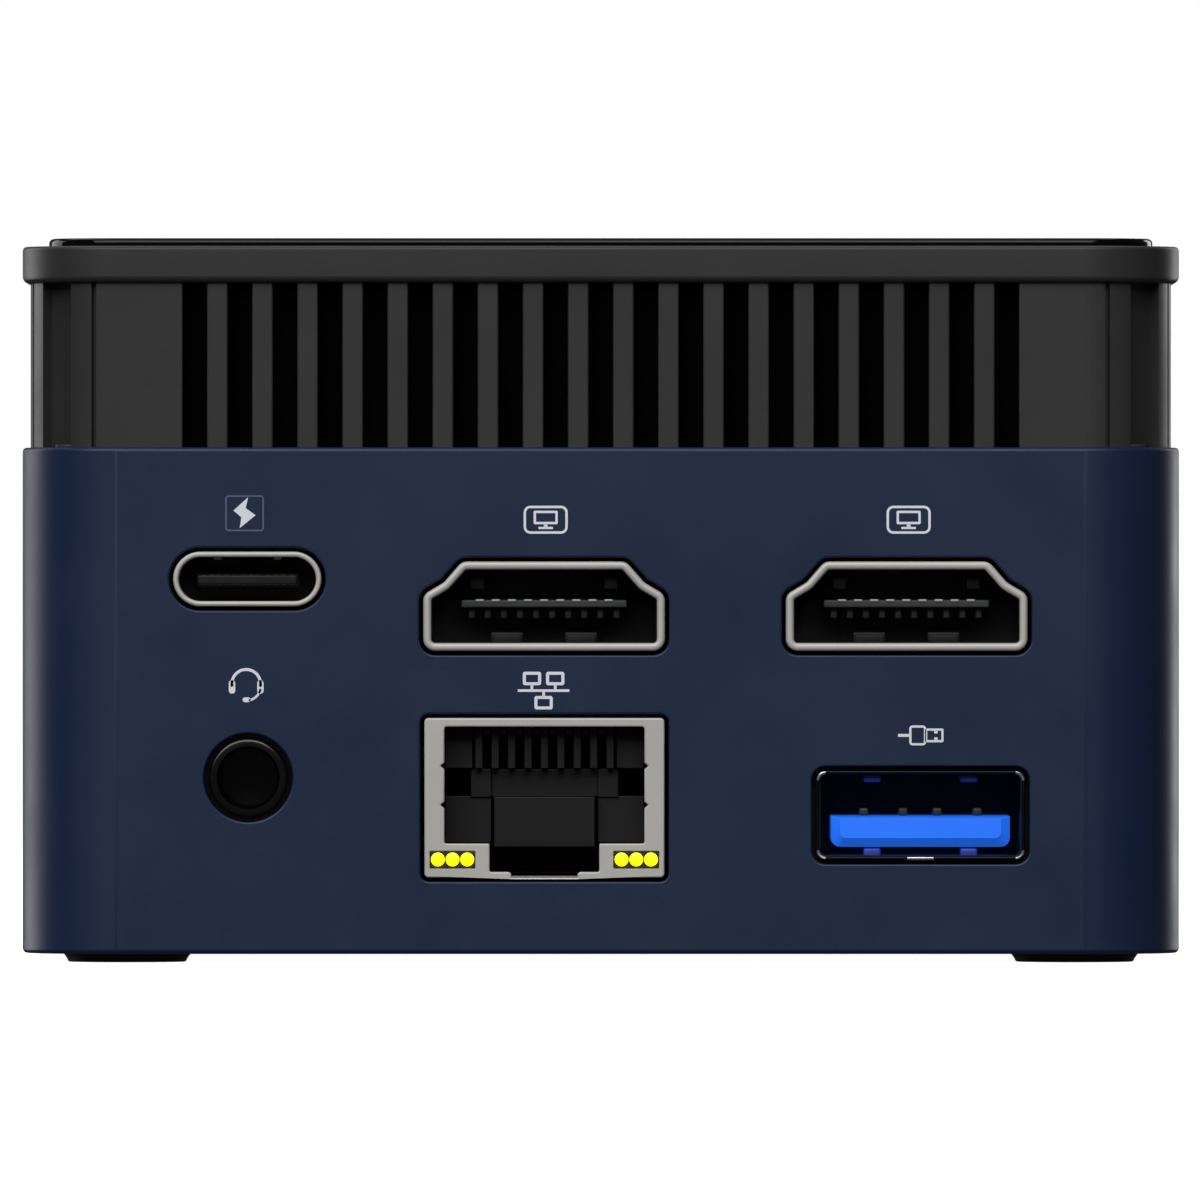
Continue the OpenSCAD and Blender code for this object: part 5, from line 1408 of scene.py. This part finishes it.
@dataclass
class Marks:
    """Ink marks over the sockets: what each one is for, with no lettering.

    Attributes:
        line: width of a printed line.
    """

    line: float = 0.19

    def bolt(self) -> None:
        """Lightning bolt in a thin square, for the power socket."""
        x, z = -22.1, 27.9
        skin = Spot(Wall.SOCKETS, x, z).skin()
        loop = [(0.22, 1.0), (-0.69, 0.17), (-0.2, -0.25), (-0.3, -0.92), (0.68, -0.12), (0.07, 0.32)]
        raised(skin, np.array(loop))
        finish_piece(skin.build("mark_power_bolt"), INK, "case_shell")
        thin = Spot(Wall.SOCKETS, x, z).skin()
        frame_mark(thin, rectangle(2.4, 2.23, 0.2, 4), 0.1)
        finish_piece(thin.build("mark_power_frame"), INK_FAINT, "case_shell")

    def screen(self, x: float, z: float, name: str) -> None:
        """Small screen on a stand, in a round-cornered box."""
        skin = Spot(Wall.SOCKETS, x, z).skin()
        frame_mark(skin, rectangle(2.74, 1.74, 0.42, 6), self.line * 0.8)
        frame_mark(skin, rectangle(1.5, 0.84, 0.08, 3).moved(0, 0.14), 0.15)
        raised(skin, np.array([(-0.12, -0.3), (0.12, -0.3), (0.12, -0.46), (-0.12, -0.46)])[::-1])
        raised(skin, np.array([(-0.45, -0.58), (0.45, -0.58), (0.45, -0.44), (-0.45, -0.44)]))
        finish_piece(skin.build(name), INK, "case_shell")

    def network(self) -> None:
        """Two boxes over a bar with one box hanging below it."""
        skin = Spot(Wall.SOCKETS, -3.55, 16.9).skin()
        box = rectangle(1.14, 0.84, 0.14, 4)
        for x, y in ((-0.72, 0.75), (0.72, 0.75), (0.0, -0.75)):
            frame_mark(skin, box.moved(x, y), self.line)
        for x0, y0, x1, y1 in ((-1.6, -0.08, 1.6, 0.08), (-0.81, 0.07, -0.64, 0.35), (0.64, 0.07, 0.81, 0.35),
                               (-0.085, -0.35, 0.085, -0.07)):
            raised(skin, np.array([(x0, y0), (x1, y0), (x1, y1), (x0, y1)]))
        finish_piece(skin.build("mark_network"), INK, "case_shell")

    def headset(self) -> None:
        """Head band with an ear cup at each end: a ring sector and two rounded blocks."""
        skin = Spot(Wall.SOCKETS, -22.0, 17.25).skin()
        angle = np.linspace(math.radians(-12), math.radians(192), 30)
        arc = np.stack([np.cos(angle), np.sin(angle)], axis=1)
        raised(skin, np.concatenate([arc * 0.98, arc[::-1] * 0.8]) + [0, 0.07])
        for side in (-1, 1):
            raised(skin, rectangle(0.4, 0.84, 0.18, 4).at(0) + [side * 0.88, -0.12])
        angle = np.linspace(math.radians(-12), math.radians(-80), 14)
        boom = np.stack([np.cos(angle), np.sin(angle)], axis=1)
        raised(skin, (np.concatenate([boom * 0.98, boom[::-1] * 0.84]) + [0, -0.06])[::-1])
        raised(skin, rectangle(0.5, 0.3, 0.14, 4).at(0) + [0.02, -0.92])
        finish_piece(skin.build("mark_headset"), INK, "case_shell")

    def data(self, wall: Wall, x: float, z: float, name: str) -> None:
        """Flat plug with two contacts and a short cord: the sign for a data socket."""
        skin = Spot(wall, x, z).skin()
        frame_mark(skin, rectangle(1.15, 0.86, 0.08, 3).moved(0.75, 0), 0.14)
        frame_mark(skin, rectangle(1.05, 1.24, 0.2, 4).moved(-0.28, 0), 0.14)
        for y in (-0.2, 0.2):
            raised(skin, rectangle(0.22, 0.16, 0.02, 2).at(0) + [0.85, y])
        raised(skin, np.array([(-1.5, -0.09), (-0.8, -0.09), (-0.8, 0.09), (-1.5, 0.09)]))
        finish_piece(skin.build(name), INK, "case_shell")

    def build(self) -> None:
        """Builds every mark."""
        self.bolt()
        self.screen(-3.42, 27.5, "mark_screen_left")
        self.screen(19.1, 27.5, "mark_screen_right")
        self.network()
        self.headset()
        self.data(Wall.SOCKETS, 19.94, 14.12, "mark_data_rear")
        for mount, name in (("usb_front_socket_a", "mark_data_front_a"), ("usb_front_socket_b", "mark_data_front_b")):
            spot = mount_spot(mount)
            self.data(Wall.BUTTON, spot.side, 14.12, name)


# ---------------------------------------------------------------- studio


@dataclass(frozen=True)
class Light:
    """One soft area light.

    Attributes:
        name: its name.
        place: where it is, in metres.
        size: width and height in metres.
        power: watts.
        aim: what it points at, in metres.
    """

    name: str
    place: tuple[float, float, float]
    size: tuple[float, float]
    power: float
    aim: tuple[float, float, float] = (0.0, 0.0, 0.022)

    def build(self) -> None:
        """Adds the light."""
        data = bpy.data.lights.new(self.name, "AREA")
        data.shape = "RECTANGLE"
        data.size, data.size_y = self.size
        data.energy = self.power
        lamp = bpy.data.objects.new(self.name, data)
        lamp.location = self.place
        lamp.rotation_euler = (Vector(self.place) - Vector(self.aim)).to_track_quat("Z", "Y").to_euler()
        bpy.context.scene.collection.objects.link(lamp)


LIGHTS = (
    Light("left_softbox", (-0.5, 0.33, 0.1), (0.4, 0.5), 1.4),
    Light("right_rim", (0.36, 0.44, 0.1), (0.2, 0.4), 0.8),
    Light("top_softbox", (-0.1, 0.35, 0.7), (0.7, 0.5), 1.5),
    Light("front_key", (-0.2, -0.9, 0.75), (1.2, 1.0), 13.5),
)


@dataclass(frozen=True)
class Studio:
    """Pale floor, white surroundings, soft lights and a long-lens camera at the socket wall.

    Attributes:
        distance: from the camera to the socket wall, in metres.
        height: of the camera and its aim, in metres.
        side: sideways offset of both.
        frame_m: width of the view at the wall.
        sky: brightness of the surroundings as the camera sees them.
        ambient: their brightness as a light.
    """

    distance: float = 1.6
    height: float = 0.02252
    side: float = -0.00005
    frame_m: float = 0.07445
    sky: float = 1.0
    ambient: float = 0.06

    def camera(self) -> None:
        """Adds the camera: its lens is the sensor's width times distance over the view's width."""
        data = bpy.data.cameras.new("camera")
        data.sensor_width = 36.0
        data.lens = 36.0 * self.distance / self.frame_m
        data.clip_end = 10.0
        eye = bpy.data.objects.new("camera", data)
        eye.location = (self.side, -HALF * MM - self.distance, self.height)
        eye.rotation_euler = (math.pi / 2, 0.0, 0.0)
        bpy.context.scene.collection.objects.link(eye)
        bpy.context.scene.camera = eye

    def floor(self) -> None:
        """Wide disc of pale card. Only the camera sees it, so that it doesn't light the lower walls."""
        skin = Skin(upright()).sweep(circle(2500.0, 96), [(0, -1.0), (0, -0.01)], cap_first=True, cap_last=True)
        disc = skin.build("studio_floor")
        FLOOR_CARD.dress(disc)
        disc.visible_diffuse = False
        disc.visible_glossy = False

    def surroundings(self) -> None:
        """White to the camera, weaker as a light."""
        world = bpy.data.worlds.new("studio")
        world.use_nodes = True
        bpy.context.scene.world = world
        tree = world.node_tree
        back = tree.nodes["Background"]
        back.inputs["Color"].default_value = (1.0, 1.0, 1.0, 1.0)
        path = add(tree, "ShaderNodeLightPath")
        strength = add(tree, "ShaderNodeMapRange", {"Value": path.outputs["Is Camera Ray"], "To Min": self.ambient,
                                                    "To Max": self.sky})
        tree.links.new(strength.outputs[0], back.inputs["Strength"])
        bpy.context.scene.view_settings.view_transform = "Standard"

    def build(self) -> None:
        """Builds the studio."""
        self.floor()
        self.surroundings()
        for light in LIGHTS:
            light.build()
        self.camera()


# ---------------------------------------------------------------- whole


def dress_kept() -> None:
    """Gives every CAD node the finish of its slot, so that the ones that keep their mesh are dressed too."""
    for row in frame["record"]["subparts"]:
        SLOT_FINISH[row["material_slot"]].dress(frame["nodes"][row["node"]])


def main() -> None:
    """Builds every piece, then the studio."""
    logging.basicConfig(level=logging.INFO, format="%(message)s")
    dress_kept()
    for part in (LowerCase(), VentRing(), Lid(), UsbC(), ScreenSocket("left"), ScreenSocket("right"), HeadsetJack(),
                 NetworkSocket(), PowerButton(), Marks()):
        part.build()
    build_usb()
    Studio().build()


if __name__ == "__main__":
    main()
